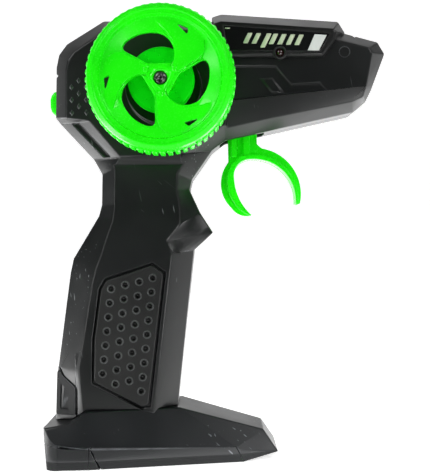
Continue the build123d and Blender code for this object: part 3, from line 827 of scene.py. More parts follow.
INNER = MouldedPlastic("inner_plastic", (0.012, 0.012, 0.013), 0.5, edge_wear_and_highlight_share=0.1)
GLOSS = MouldedPlastic(
    "label_film", (0.0045, 0.0048, 0.0050), 0.14, wear_and_highlight_colour=(0.05, 0.05, 0.05), depth=0.003, edge_wear_and_highlight_share=0.1
)
PRINT = Finish("label_print", (0.66, 0.74, 0.52), 0.42)
CHIP = MouldedPlastic(
    "chip_silver", (0.60, 0.56, 0.49), 0.38, wear_and_highlight_colour=(0.6, 0.6, 0.58), depth=0.004, edge_wear_and_highlight_share=0.2
)
NEON = NeonPlastic("neon_plastic", (0.016, 0.92, 0.004), 0.24)
# Painted shade: a darker, less glossy copy of the neon plastic for the disc that sits behind the spokes; it
# has the painted glow as well.
SHADED_NEON = NeonPlastic("neon_disc", (0.002, 0.70, 0.004), 0.34, glow=0.12, speck=0.9, gloss=0.12)
WHITE = MouldedPlastic("white_acetal", (0.72, 0.71, 0.67), 0.42, wear_and_highlight_colour=(0.6, 0.6, 0.6), edge_wear_and_highlight_share=0.1)
BLUE = MouldedPlastic("sensor_case", (0.03, 0.09, 0.32), 0.42, wear_and_highlight_colour=(0.2, 0.25, 0.4), edge_wear_and_highlight_share=0.15)
STEEL = Metal("zinc_steel", (0.62, 0.62, 0.60), 0.30)
DARK_STEEL = Metal("blackened_steel", (0.10, 0.10, 0.10), 0.30)
SPRING = Metal("spring_steel", (0.70, 0.69, 0.66), 0.22)
CAN = Metal("shield_can", (0.76, 0.75, 0.72), 0.26)
LED = Lens("lamp_lens", (0.016, 0.003, 0.003), 0.08)
BOARD = Circuit("board_lacquer", (0.010, 0.10, 0.035), 0.34)
SLEEVE = CellWrap("cell_sleeve", (0.012, 0.014, 0.018), 0.3)
RED_WIRE = MouldedPlastic("red_insulation", (0.45, 0.012, 0.010), 0.4, wear_and_highlight_colour=(0.5, 0.1, 0.1), edge_wear_and_highlight_share=0.0)
BLACK_WIRE = MouldedPlastic("black_insulation", (0.012, 0.012, 0.012), 0.4, edge_wear_and_highlight_share=0.0)


# ---------------------------------------------------------------- repeated forms
class Pattern:
    """A geometry node tree that makes a repeated form, with named inputs."""

    def __init__(self, name: str) -> None:
        """Start an empty tree with a geometry input and output.

        Args:
            name: The tree's name.
        """
        self.tree = bpy.data.node_groups.new(name, "GeometryNodeTree")
        self.tree.interface.new_socket("Geometry", in_out="INPUT", socket_type="NodeSocketGeometry")
        self.tree.interface.new_socket("Geometry", in_out="OUTPUT", socket_type="NodeSocketGeometry")
        self.entry = self.tree.nodes.new("NodeGroupInput")
        self.identifiers: dict[str, str] = {}

    @property
    def geometry(self) -> Any:
        """The geometry that the tree is put on."""
        return self.entry.outputs["Geometry"]

    def value(self, name: str, kind: str = "Float") -> Any:
        """Add a named input.

        Args:
            name: Its name.
            kind: Its socket's type without the NodeSocket prefix.

        Returns:
            Its socket in the tree.
        """
        socket = self.tree.interface.new_socket(name, in_out="INPUT", socket_type=f"NodeSocket{kind}")
        self.identifiers[name] = socket.identifier
        return self.entry.outputs[name]

    def add(self, kind: str, inputs: dict[Any, Any], **settings: Any) -> bpy.types.Node:
        """Add a node.

        Args:
            kind: The node's full type name.
            inputs: Values or sockets, by input name or number.
            settings: The node's own properties.

        Returns:
            The node.
        """
        return added_node(self.tree, kind, inputs, settings)

    def close(self, geometry: Any, material: Any) -> None:
        """End the tree: instances made real, then the material.

        Args:
            geometry: The geometry's socket.
            material: The material's socket.
        """
        real = self.add("GeometryNodeRealizeInstances", {"Geometry": geometry})
        painted = self.add("GeometryNodeSetMaterial", {"Geometry": real.outputs[0], "Material": material})
        self.add("NodeGroupOutput", {"Geometry": painted.outputs[0]})

    def grow(self, name: str, values: dict[str, Any], base: Mesh | None = None) -> Piece:
        """Make a plain mesh with the tree.

        Args:
            name: The new piece's name.
            values: The tree's inputs by name.
            base: The mesh that the tree starts from, such as a set of points.

        Returns:
            The new piece, with no modifier left on it.
        """
        piece = piece_from(name, base or bpy.data.meshes.new(name))
        modifier = piece.modifiers.new("pattern", "NODES")
        modifier.node_group = self.tree
        for label, value in values.items():
            modifier[self.identifiers[label]] = value
        settled(piece)
        piece.data.name = name
        return piece


def points_mesh(name: str, places: Iterable[Place]) -> Mesh:
    """A mesh of loose points."""
    mesh = bpy.data.meshes.new(name)
    mesh.from_pydata([Vector(place) * MM for place in places], [], [])
    return mesh


def coil_pattern() -> Pattern:
    """A round wire wound as a coil along +Z, then turned and moved into place."""
    pattern = Pattern("coil_spring")
    turns, first, last = (pattern.value(name) for name in ("Turns", "First Radius", "Last Radius"))
    height, wire = (pattern.value(name) for name in ("Height", "Wire Radius"))
    turn, place = pattern.value("Turn", "Vector"), pattern.value("Place", "Vector")
    finish = pattern.value("Material", "Material")
    line = pattern.add(
        "GeometryNodeCurveSpiral",
        {"Resolution": 40, "Rotations": turns, "Start Radius": first, "End Radius": last, "Height": height},
    )
    section = pattern.add("GeometryNodeCurvePrimitiveCircle", {"Resolution": 10, "Radius": wire})
    tube = pattern.add(
        "GeometryNodeCurveToMesh",
        {"Curve": line.outputs["Curve"], "Profile Curve": section.outputs["Curve"], "Fill Caps": True},
    )
    smooth = pattern.add("GeometryNodeSetShadeSmooth", {"Geometry": tube.outputs["Mesh"]})
    moved = pattern.add(
        "GeometryNodeTransform", {"Geometry": smooth.outputs[0], "Rotation": turn, "Translation": place}
    )
    pattern.close(moved.outputs[0], finish)
    return pattern


def copies_pattern() -> Pattern:
    """Copies of one template at every point of the geometry that it is put on."""
    pattern = Pattern("copies_on_points")
    template, finish = pattern.value("Template", "Object"), pattern.value("Material", "Material")
    size = pattern.value("Size")
    shape = pattern.add("GeometryNodeObjectInfo", {"Object": template}, transform_space="ORIGINAL")
    copies = pattern.add(
        "GeometryNodeInstanceOnPoints",
        {"Points": pattern.geometry, "Instance": shape.outputs["Geometry"], "Scale": size},
    )
    pattern.close(copies.outputs[0], finish)
    return pattern


def ring_pattern() -> Pattern:
    """Rounded teeth at even steps round an axis along Y."""
    pattern = Pattern("ring_of_teeth")
    count = pattern.value("Count", "Int")
    radius = pattern.value("Radius")
    size, place = pattern.value("Tooth Size", "Vector"), pattern.value("Place", "Vector")
    crease = pattern.value("Crease")
    finish = pattern.value("Material", "Material")
    circle = pattern.add("GeometryNodeCurvePrimitiveCircle", {"Resolution": count, "Radius": radius})
    spots = pattern.add("GeometryNodeCurveToPoints", {"Curve": circle.outputs["Curve"]}, mode="EVALUATED")
    tooth = pattern.add("GeometryNodeMeshCube", {"Size": size})
    soft = pattern.add(
        "GeometryNodeSubdivisionSurface", {"Mesh": tooth.outputs["Mesh"], "Level": 2, "Edge Crease": crease}
    )
    smooth = pattern.add("GeometryNodeSetShadeSmooth", {"Geometry": soft.outputs[0]})
    places, turns = spots.outputs["Points"], spots.outputs["Rotation"]
    ring = pattern.add(
        "GeometryNodeInstanceOnPoints", {"Points": places, "Instance": smooth.outputs[0], "Rotation": turns}
    )
    upright = (math.pi / 2, 0.0, 0.0)
    moved = pattern.add(
        "GeometryNodeTransform", {"Geometry": ring.outputs[0], "Rotation": upright, "Translation": place}
    )
    pattern.close(moved.outputs[0], finish)
    return pattern


def template(name: str, mesh: Mesh) -> Piece:
    """An object that only the patterns copy from; discard() removes it."""
    return piece_from(name, mesh)


def discard(*pieces: Piece) -> None:
    """Remove templates when their copies are made."""
    for piece in pieces:
        bpy.data.objects.remove(piece)


# ---------------------------------------------------------------- sub-assemblies
@dataclass(frozen=True)
class Patterns:
    """The repeated forms that several sub-assemblies share."""

    coil: Pattern
    copies: Pattern
    ring: Pattern


@dataclass
class Housing:
    """The two halves of the body, with raised diamonds on the rear block."""

    rounding: float = 0.45
    face: float = 15.0
    diamond_height: float = 0.28
    diamond_long: float = 1.2
    diamond_wide: float = 0.8
    diamond_top: float = 0.5
    sunk: float = 0.02
    columns: tuple[float, ...] = (-30.6, -28.0, -25.4)
    first_row: float = 126.4
    row_pitch: float = 4.6
    stagger: float = 2.3
    rows: int = 3

    def build(self, patterns: Patterns) -> None:
        """Make both halves and both fields of diamonds.

        Args:
            patterns: The shared patterns.
        """
        for node in ("housing_right", "housing_left"):
            finished(softened(node, self.rounding), Body.ROOT, SHELL, (node,))
        for side in Side:
            self.diamonds(patterns, side)

    def diamonds(self, patterns: Patterns, side: Side) -> None:
        """Raise the diamonds of one side.

        Args:
            patterns: The shared patterns.
            side: Which side.
        """
        form = bmesh.new()
        wide, tall = self.diamond_wide, self.diamond_long
        corners = ((wide, 0), (0, tall), (-wide, 0), (0, -tall))
        base = [form.verts.new(Vector((x, 0, z)) * MM) for x, z in corners]
        rise = Vector((0, side.value * self.diamond_height * MM, 0))
        tips = [form.verts.new(vert.co * self.diamond_top + rise) for vert in base]
        form.faces.new(base)
        form.faces.new(tips)
        for index in range(len(base)):
            after = (index + 1) % len(base)
            form.faces.new((base[index], base[after], tips[after], tips[index]))
        stud = template("diamond", mesh_from("diamond", form, smooth=False))
        foot = (self.face - self.sunk) * side.value
        places = [
            (x, foot, self.first_row + row * self.row_pitch + column % 2 * self.stagger)
            for column, x in enumerate(self.columns)
            for row in range(self.rows)
        ]
        name = f"rear_diamonds_{side.name.lower()}"
        values = {"Template": stud, "Material": SHELL.material(), "Size": 1.0}
        piece = patterns.copies.grow(name, values, points_mesh(name, places))
        discard(stud)
        finished(piece, Body.ROOT, SHELL)


@dataclass
class Hood:
    """The saddle cover with its label plates, printed stripes, silver chips and lamp."""

    rounding: float = 0.5
    plate: float = 17.2
    print_height: float = 0.05
    stripe_count: int = 7
    stripe_from: float = 31.2
    stripe_pitch: float = 3.05
    stripe_width: float = 1.75
    stripe_base: float = 149.6
    stripe_tall: float = 3.7
    stripe_lean: float = 1.9
    long_stripe: int = 2
    long_stripe_extra: float = 1.3
    fall: float = -0.055
    # A small pale dash in the print's colour near the plate's upper edge; it copies a short white mark there
    # whose cause is not known.
    dash: tuple[Point, ...] = ((24.9, 155.0), (26.6, 154.9), (26.8, 155.3), (25.1, 155.4))
    lamp_centre: Point = (44.4, 146.1)
    lens: tuple[Point, ...] = (
        (0, -17.8), (0.5, -17.72), (0.95, -17.45), (1.3, -17.0), (1.47, -16.3), (1.48, -12.2), (1.7, -12.2),
        (1.7, -11.65), (0, -11.65),
    )
    bezel: tuple[Point, ...] = (
        (1.52, -15.35), (2.38, -15.35), (2.38, -17.45), (2.1, -17.7), (1.85, -17.7), (1.52, -17.35),
    )

    def build(self) -> None:
        """Make the hood and what it carries."""
        finished(softened("top_hood", self.rounding), Body.ROOT, HOOD, ("top_hood",))
        for node in ("label_right", "label_left"):
            finished(softened(node, 0.12), Body.ROOT, GLOSS, (node,))
        finished(softened("label_chips", 0.1), Body.ROOT, CHIP, ("label_chips",))
        for side in Side:
            self.stripes(side)
        self.lamp()

    def stripes(self, side: Side) -> None:
        """Print plain slanted stripes of two lengths on a label plate, and draw a small pale dash beside
        them.

        Args:
            side: Which side's plate.
        """
        bars = []
        foot = self.plate * side.value
        top = foot + side.value * self.print_height
        for index in range(self.stripe_count):
            x = self.stripe_from + index * self.stripe_pitch
            low = self.stripe_base + self.fall * (x - self.stripe_from)
            high = low + self.stripe_tall
            if index == self.long_stripe:
                low -= self.long_stripe_extra
            lean = self.stripe_lean * (high - low) / self.stripe_tall
            end = x + self.stripe_width
            shape = [(x, low), (end, low), (end + lean, high), (x + lean, high)]
            bars.append(prism("stripe", fillet(shape, 0.25, 2), foot, top))
        # The dash copies a short white mark on the plate whose cause is not known; it only takes the print's
        # colour.
        bars.append(prism("dash", self.dash, foot, top))
        piece = piece_from(f"label_stripes_{side.name.lower()}", joined("label_stripes", bars))
        finished(piece, Body.ROOT, PRINT)

    def lamp(self) -> None:
        """Turn the lens and its bezel."""
        dome = piece_from("lamp_dome", lathe("lamp_dome", self.lens, self.lamp_centre, 40))
        finished(dome, Body.ROOT, LED, ("lamp",))
        ring = piece_from("lamp_ring", lathe("lamp_ring", fillet(self.bezel, 0.15, 2), self.lamp_centre, 40))
        finished(ring, Body.ROOT, HOOD, ("lamp_bezel",))


@dataclass
class GripPads:
    """The two rubber pads of the grip, with their columns of round dimples."""

    outline: tuple[Point, ...] = (
        (-24.6, 29.6), (-7.8, 20.6), (-5.4, 20.9), (1.0, 68.0), (-2.9, 71.0), (-19.4, 65.9), (-21.4, 62.6),
        (-24.1, 44.6),
    )
    back: float = 13.8
    face: float = 15.5
    corner: float = 1.6
    rim: float = 0.4
    dimple_radius: float = 0.82
    dimple_depth: float = 1.45
    mouth: float = 1.12
    lip: tuple[Point, ...] = ((1.08, -0.15), (1.12, 0.08), (1.22, 0.10), (1.34, 0.02), (1.38, -0.15))
    step: Point = (-0.62, -5.07)
    columns: tuple[tuple[Point, int], ...] = (
        ((-17.8, 62.9), 7), ((-12.7, 64.2), 8), ((-7.7, 65.2), 8), ((-2.8, 66.5), 9),
    )

    def build(self, patterns: Patterns) -> None:
        """Make the pads of both sides.

        Args:
            patterns: The shared patterns.
        """
        for side in Side:
            node = f"grip_pad_{side.name.lower()}"
            piece = self.pad(patterns, side)
            finished(piece, Body.ROOT, RUBBER, (node,))

    def pad(self, patterns: Patterns, side: Side) -> Piece:
        """Make one pad and sink its dimples.

        Args:
            patterns: The shared patterns.
            side: Which side's pad.

        Returns:
            The pad.
        """
        sign = side.value
        name = f"pad_{side.name.lower()}"
        outline = fillet(self.outline, self.corner)
        piece = piece_from(name, prism(name, outline, self.back * sign, self.face * sign, self.rim, 3))
        cup = [
            (0, -self.dimple_depth), (self.dimple_radius * 0.75, -self.dimple_depth * 0.96),
            (self.dimple_radius, -self.dimple_depth * 0.7), (self.dimple_radius, -0.35), (1.0, -0.1),
            (self.mouth, 0.02), (self.mouth, 0.4), (0, 0.4),
        ]
        profile = [(radius, y * sign) for radius, y in cup]
        punch = template("dimple", lathe("dimple", profile, (0, 0), 20))
        places = [
            (x + row * self.step[0], self.face * sign, z + row * self.step[1])
            for (x, z), rows in self.columns
            for row in range(rows)
        ]
        values = {"Template": punch, "Material": RUBBER.material(), "Size": 1.0}
        punches = patterns.copies.grow("dimples", values, points_mesh("dimples", places))
        combined(piece, punches.data, Cut.REMOVE)
        evened(piece)
        ring = template("lip", lathe("lip", [(radius, y * sign) for radius, y in self.lip], (0, 0), 20))
        lips = patterns.copies.grow("lips", {**values, "Template": ring}, points_mesh("lips", places))
        whole = piece_from(f"{name}_lipped", joined(f"{name}_lipped", (piece.data, lips.data)))
        discard(punch, punches, ring, lips, piece)
        return whole


@dataclass
class Foot:
    """The base shell, the battery door and the strap lug with its two side plates."""

    rounding: float = 0.5
    door_rounding: float = 0.35
    plate_outline: tuple[Point, ...] = (
        (-38.9, 34.0), (-36.4, 31.2), (-31.6, 27.6), (-31.9, 17.4), (-39.7, 17.0),
    )
    plate_slot: tuple[Point, ...] = (
        (-38.0, 19.4), (-34.6, 19.4), (-34.3, 25.4), (-36.2, 27.4), (-37.6, 28.6),
    )
    plate_height: float = 0.55
    plate_sunk: float = 0.3
    edge: float = 8.0
    face: float = 15.0
    bevel_top: float = 34.3
    bevel_tall: float = 24.3
    bevel_rear: float = -38.6
    bevel_front: float = -30.1
    rear_lean: float = -1.6
    front_lean: float = 1.7

    def bevel(self, x: float, z: float) -> float:
        """How far from the middle the grip's rear bevel lies, near the foot.

        Args:
            x: Where along X.
            z: How high.

        Returns:
            The distance from the middle plane.
        """
        down = (self.bevel_top - z) / self.bevel_tall
        rear, front = self.bevel_rear + self.rear_lean * down, self.bevel_front + self.front_lean * down
        return self.edge + (self.face - self.edge) * max(0.0, x - rear) / (front - rear)

    def plate(self, side: Side) -> None:
        """Lay the lug's side plate on the bevel and cut its slot.

        Args:
            side: Which side's plate.
        """
        sign = side.value

        def base(x: float, z: float) -> float:
            """Y of the bevel on this side."""
            return sign * self.bevel(x, z)

        name = f"lug_plate_{side.name.lower()}"
        outline = fillet(self.plate_outline, 0.8, 3)
        plate = prism(name, outline, -self.plate_sunk * sign, self.plate_height * sign, 0.2, 2, base)
        piece = piece_from(name, plate)
        slot = prism("slot", fillet(self.plate_slot, 0.5), -0.1 * sign, 2.0 * sign, 0.0, 2, base)
        combined(piece, slot, Cut.REMOVE)
        finished(evened(piece), Body.ROOT, LUG)

    def build(self) -> None:
        """Round the three mouldings and lay the lug's plates."""
        for side in Side:
            self.plate(side)
        finished(softened("base_shell", self.rounding), Body.ROOT, FOOT, ("base_shell",))
        door = softened("battery_door", self.door_rounding)
        finished(door, Body.DOOR, FOOT, ("battery_door",))
        finished(softened("strap_lug", 0.5, 0.9), Body.ROOT, SHELL, ("strap_lug",))


@dataclass
class BatteryBay:
    """The tray, cells, contacts and conical springs."""

    cell_places: tuple[Point, ...] = ((-5.9, 7.6), (5.9, 7.6))
    spring_from: float = -35.6
    spring_to: float = -31.9
    wire: float = 0.32
    wide: float = 3.05
    narrow: float = 2.1
    turns: float = 4.5

    def build(self, patterns: Patterns) -> None:
        """Wind the springs and dress the rest.

        Args:
            patterns: The shared patterns.
        """
        coils = []
        for y, z in self.cell_places:
            values = {
                "Turns": self.turns, "First Radius": self.wide * MM, "Last Radius": self.narrow * MM,
                "Height": (self.spring_to - self.spring_from) * MM, "Wire Radius": self.wire * MM,
                "Turn": (0.0, math.pi / 2, 0.0), "Place": (self.spring_from * MM, y * MM, z * MM),
                "Material": SPRING.material(),
            }
            coils.append(patterns.coil.grow("cell_spring", values))
        piece = piece_from("cell_springs", joined("cell_springs", [coil.data for coil in coils]))
        discard(*coils)
        finished(piece, Body.ROOT, SPRING, ("battery_springs",))
        dressed(SPRING, "contact_plates")
        dressed(INNER, "battery_tray")
        dressed(SLEEVE, "battery_cells")


@dataclass
class Steering:
    """The wheel on its shaft, with the disc behind its spokes, the bush, arm, spring and sensor."""

    centre: Point = (2.6, 134.6)
    profile: tuple[Point, ...] = (
        (23.0, -25.0), (24.2, -25.0), (24.2, -36.9), (24.6, -37.2), (24.8, -38.4), (24.4, -39.9),
        (23.2, -40.95), (22.7, -40.95), (22.3, -40.6), (20.9, -40.3), (20.4, -38.6), (15.9, -37.0),
        (3.5, -37.0), (3.4, -37.45), (2.5, -37.45), (2.4, -36.2), (1.2, -36.2), (1.2, -33.6), (3.0, -33.6),
        (3.0, -24.0), (5.0, -24.0), (5.0, -34.8), (16.5, -34.8), (19.8, -36.6), (23.0, -38.0),
    )
    blade: tuple[Point, ...] = (
        (4.0, 2.3), (3.6, 3.6), (4.5, 5.2), (5.1, 8.5), (4.6, 11.4), (3.3, 14.2), (1.4, 16.6), (-0.6, 18.6),
        (-2.4, 20.3), (4.4, 20.2), (10.6, 17.7), (14.3, 14.6), (15.1, 11.4), (14.8, 8.6), (13.6, 6.6),
        (11.2, 5.1), (8.7, 3.5), (6.3, 2.0), (5.0, 1.6),
    )
    blade_back: float = -36.2
    blade_face: float = -38.2
    opening: tuple[Point, ...] = (
        (-12.4, 10.8), (-11.0, 12.7), (-7.6, 14.6), (-4.8, 15.3), (-2.0, 15.4), (0.8, 14.8), (3.1, 13.0),
        (4.4, 10.6), (4.9, 8.0), (4.7, 5.9), (4.1, 5.1), (3.0, 4.9), (0.0, 4.9), (-3.0, 4.9), (-4.6, 5.1),
        (-6.2, 6.0), (-8.4, 7.3), (-10.6, 8.5), (-12.0, 9.5),
    )
    opening_back: float = -33.9
    opening_front: float = -43.0
    notch: tuple[Point, ...] = ((5.3, 18.4), (9.7, 16.3), (9.5, 14.0))
    web: tuple[Point, ...] = ((6.4, 3.7), (-6.4, 3.7), (0.0, -7.4))
    web_back: float = -36.5
    web_face: float = -37.5
    tip: Point = (4.85, 2.8)
    tip_profile: tuple[Point, ...] = ((0, -37.0), (1.0, -37.0), (1.0, -38.3), (0.75, -38.5), (0, -38.5))
    seat_profile: tuple[Point, ...] = ((0, -35.0), (2.45, -35.0), (2.45, -39.0), (0, -39.0))
    spokes: int = 3
    teeth: int = 60
    tooth_middle: float = 24.4
    tooth_size: Place = (2.1, 12.0, 1.75)
    tooth_y: float = -31.3
    disc_profile: tuple[Point, ...] = (
        (5.05, -31.0), (11.4, -31.0), (11.4, -32.1), (10.6, -32.6), (5.05, -32.6),
    )
    bump_rings: tuple[tuple[float, int], ...] = ((6.6, 9), (8.4, 13), (10.1, 17))
    bump_radius: float = 0.34
    bump_y: float = -32.5
    bump_stagger: float = 0.37
    bush_profile: tuple[Point, ...] = (
        (3.06, -11.0), (5.0, -11.0), (5.0, -20.5), (6.5, -20.5), (6.5, -21.3), (3.06, -21.3),
    )
    spring_turns: float = 5.0
    spring_radius: float = 4.2
    spring_long: float = 3.3
    spring_wire: float = 0.3
    spring_y: float = -5.55

    def build(self, patterns: Patterns) -> None:
        """Make the turning pieces, then the fixed ones.

        Args:
            patterns: The shared patterns.
        """
        self.wheel(patterns)
        self.disc(patterns)
        self.shaft()
        self.return_spring(patterns)
        dressed(BLUE, "steering_sensor")

    def wheel(self, patterns: Patterns) -> None:
        """Turn the wheel, raise its spokes, cut its openings and add its teeth.

        Args:
            patterns: The shared patterns.
        """
        body = lathe("wheel", fillet(self.profile, 0.35, 3), self.centre, 144)
        piece = piece_from("wheel", body)
        turns = [spoke * 360 / self.spokes for spoke in range(self.spokes)]
        for degrees in turns:
            blade = turned_about(flowing(self.blade, 5), degrees, self.centre)
            combined(piece, prism("blade", blade, self.blade_back, self.blade_face), Cut.ADD)
        for degrees in turns:
            for shape in (flowing(self.opening, 5), fillet(self.notch, 0.5)):
                outline = turned_about(shape, degrees, self.centre)
                combined(piece, prism("opening", outline, self.opening_back, self.opening_front), Cut.REMOVE)
        triangle = turned_about(fillet(self.web, 2.2), 0, self.centre)
        web = piece_from("raised_web", prism("web", triangle, self.web_back, self.web_face, 0.2))
        combined(web, lathe("seat", self.seat_profile, self.centre, 40), Cut.REMOVE)
        raised = [web.data]
        tip = lathe("tip", self.tip_profile, (0, 0), 24)
        for degrees in turns:
            x, z = turned_about([self.tip], degrees, self.centre)[0]
            boss = tip.copy()
            boss.transform(Matrix.Translation(Vector((x, 0, z)) * MM))
            raised.append(boss)
        rounded_edges(piece, 0.22, 0.02, 38.0)
        values = {
            "Count": self.teeth, "Radius": self.tooth_middle * MM, "Crease": 0.75,
            "Tooth Size": tuple(length * MM for length in self.tooth_size),
            "Place": (self.centre[0] * MM, self.tooth_y * MM, self.centre[1] * MM),
            "Material": NEON.material(),
        }
        teeth = patterns.ring.grow("wheel_teeth", values)
        name = "steering_wheel_body"
        whole = piece_from(name, joined(name, (piece.data, teeth.data, *raised)))
        discard(piece, teeth, web)
        finished(whole, Body.STEERING, NEON, ("steering_wheel",))

    def disc(self, patterns: Patterns) -> None:
        """Turn the disc behind the spokes and scatter its small bumps.

        Args:
            patterns: The shared patterns.
        """
        plate = lathe("hub_disc", fillet(self.disc_profile, 0.3, 3), self.centre, 96)
        dome = bmesh.new()
        bmesh.ops.create_icosphere(dome, subdivisions=2, radius=self.bump_radius * MM)
        bump = template("bump", mesh_from("bump", dome))
        places = []
        for ring, (radius, count) in enumerate(self.bump_rings):
            for index in range(count):
                angle = math.tau * (index + self.bump_stagger * ring) / count
                x, z = self.centre[0] + radius * math.cos(angle), self.centre[1] + radius * math.sin(angle)
                places.append((x, self.bump_y, z))
        values = {"Template": bump, "Material": SHADED_NEON.material(), "Size": 1.0}
        bumps = patterns.copies.grow("bumps", values, points_mesh("bumps", places))
        piece = piece_from("hub_disc", joined("hub_disc", (plate, bumps.data)))
        discard(bump, bumps)
        # The disc wears the shaded copy of the neon plastic: painted shade for its place behind the spokes.
        finished(piece, Body.STEERING, SHADED_NEON, ("wheel_hub_disc",))

    def shaft(self) -> None:
        """Turn the bush; the shaft and the arm keep their forms."""
        flanged = lathe("flanged_bush", fillet(self.bush_profile, 0.2, 2), self.centre, 64)
        bush = piece_from("flanged_bush", flanged)
        finished(bush, Body.ROOT, WHITE, ("shaft_bush",))
        finished(softened("steering_arm", 0.25, 0.6), Body.STEERING, WHITE, ("steering_arm",))
        dressed(WHITE, "steering_shaft")

    def return_spring(self, patterns: Patterns) -> None:
        """Wind the spring that brings the wheel back to the middle.

        Args:
            patterns: The shared patterns.
        """
        radius = self.spring_radius * MM
        values = {
            "Turns": self.spring_turns, "First Radius": radius, "Last Radius": radius,
            "Height": self.spring_long * MM, "Wire Radius": self.spring_wire * MM,
            "Turn": (math.pi / 2, 0.0, 0.0),
            "Place": (self.centre[0] * MM, self.spring_y * MM, self.centre[1] * MM),
            "Material": SPRING.material(),
        }
        coil = patterns.coil.grow("return_spring", values)
        finished(coil, Body.ROOT, SPRING, ("steering_spring",))


@dataclass
class Trigger:
    """The ring trigger with its pin, spring and sensor."""

    rounding: float = 0.28
    centre: Point = (31.0, 128.0)
    spring_turns: float = 2.5
    spring_radius: float = 2.65
    spring_long: float = 1.05
    spring_wire: float = 0.24
    spring_y: float = -5.47

    def build(self, patterns: Patterns) -> None:
        """Round the trigger and wind its spring.

        Args:
            patterns: The shared patterns.
        """
        finished(softened("trigger", self.rounding, 0.1), Body.TRIGGER, NEON, ("trigger",))
        radius = self.spring_radius * MM
        values = {
            "Turns": self.spring_turns, "First Radius": radius, "Last Radius": radius,
            "Height": self.spring_long * MM, "Wire Radius": self.spring_wire * MM,
            "Turn": (math.pi / 2, 0.0, 0.0),
            "Place": (self.centre[0] * MM, self.spring_y * MM, self.centre[1] * MM),
            "Material": SPRING.material(),
        }
        coil = patterns.coil.grow("trigger_coil", values)
        finished(coil, Body.ROOT, SPRING, ("trigger_spring",))
        dressed(SPRING, "trigger_pin")
        dressed(BLUE, "trigger_sensor")


@dataclass
class PowerButton:
    """The rear button with its plunger, switch and small board."""

    cap: tuple[Point, ...] = (
        (-35.0, 135.65), (-38.4, 135.65), (-39.5, 134.35), (-40.0, 132.6), (-40.0, 129.9), (-39.5, 128.15),
        (-38.4, 126.85), (-35.0, 126.85),
    )
    half: float = 5.5
    flange_low: Place = (-35.1, -6.7, 125.65)
    flange_high: Place = (-34.2, 6.7, 136.85)

    def build(self) -> None:
        """Make the cap with its flange and dress the switch."""
        cap = prism("cap", fillet(self.cap, 1.2), -self.half, self.half, 0.9, 4)
        flange = block("flange", self.flange_low, self.flange_high, 0.25)
        piece = piece_from("button_cap", joined("button_cap", (cap, flange)))
        finished(piece, Body.BUTTON, NEON, ("power_button",))
        dressed(INNER, "switch_plunger", "power_switch")
        dressed(BOARD, "switch_board")


@dataclass
class Electronics:
    """The main board, what is soldered to it, and the leads."""

    def build(self) -> None:
        """Dress the boards, chips, can and wires."""
        dressed(BOARD, "main_board")
        dressed(CAN, "radio_module")
        dressed(INNER, "control_chip", "board_parts")
        dressed(RED_WIRE, "battery_lead_red")
        dressed(BLACK_WIRE, "battery_lead_black", "antenna_wire")


class Facing(Enum):
    """Which way a screw's head looks, as the turn from looking along -Y."""

    RIGHT = Matrix.Identity(4)
    LEFT = Matrix.Rotation(math.pi, 4, "Z")
    DOWN = Matrix.Rotation(math.pi / 2, 4, "X")


@dataclass
class Screw:
    """One size of cross-recessed screw."""

    head: float = 2.3
    height: float = 1.5
    shank: float = 1.15
    length: float = 10.0
    pitch: float = 0.8
    recess: float = 1.35
    slot: float = 0.42

    def mesh(self, facing: Facing) -> Mesh:
        """Make the screw with the seat of its head at the origin.

        Args:
            facing: Which way the head looks.

        Returns:
            A closed mesh.
        """
        profile: list[Point] = [
            (0, -self.height), (self.head * 0.55, -self.height * 0.97),
            (self.head * 0.86, -self.height * 0.75), (self.head, -self.height * 0.35), (self.head, 0.0),
            (self.shank, 0.0),
        ]
        turns = int(self.length / self.pitch)
        for turn in range(turns):
            y = (turn + 0.5) * self.pitch
            profile += [(self.shank * 0.8, y - 0.2), (self.shank, y)]
        profile += [(self.shank * 0.8, self.length - 0.5), (0, self.length)]
        piece = piece_from("screw", lathe("screw", profile, (0, 0), 28))
        for wide, tall in ((self.recess, self.slot), (self.slot, self.recess)):
            cross = [(-wide, -tall), (wide, -tall), (wide, tall), (-wide, tall)]
            combined(piece, prism("cross", cross, -self.height * 0.45, -self.height * 1.2), Cut.REMOVE)
        mesh = piece.data
        discard(piece)
        mesh.transform(facing.value)
        return mesh


@dataclass
class ScrewGroup:
    """Screws of one size and kind, which stand for one CAD node."""

    name: str
    node: str
    screw: Screw
    facing: Facing
    seats: list[Place]
    body: Body = Body.ROOT
    finish: Finish = STEEL
    slot: str = "screw_steel"

    def build(self, patterns: Patterns) -> None:
        """Copy the screw to the seats of its heads.

        Args:
            patterns: The shared patterns.
        """
        original = template("screw", self.screw.mesh(self.facing))
        values = {"Template": original, "Material": self.finish.material(), "Size": 1.0}
        piece = patterns.copies.grow(self.name, values, points_mesh(self.name, self.seats))
        discard(original)
        finished(piece, self.body, self.finish, (self.node,))


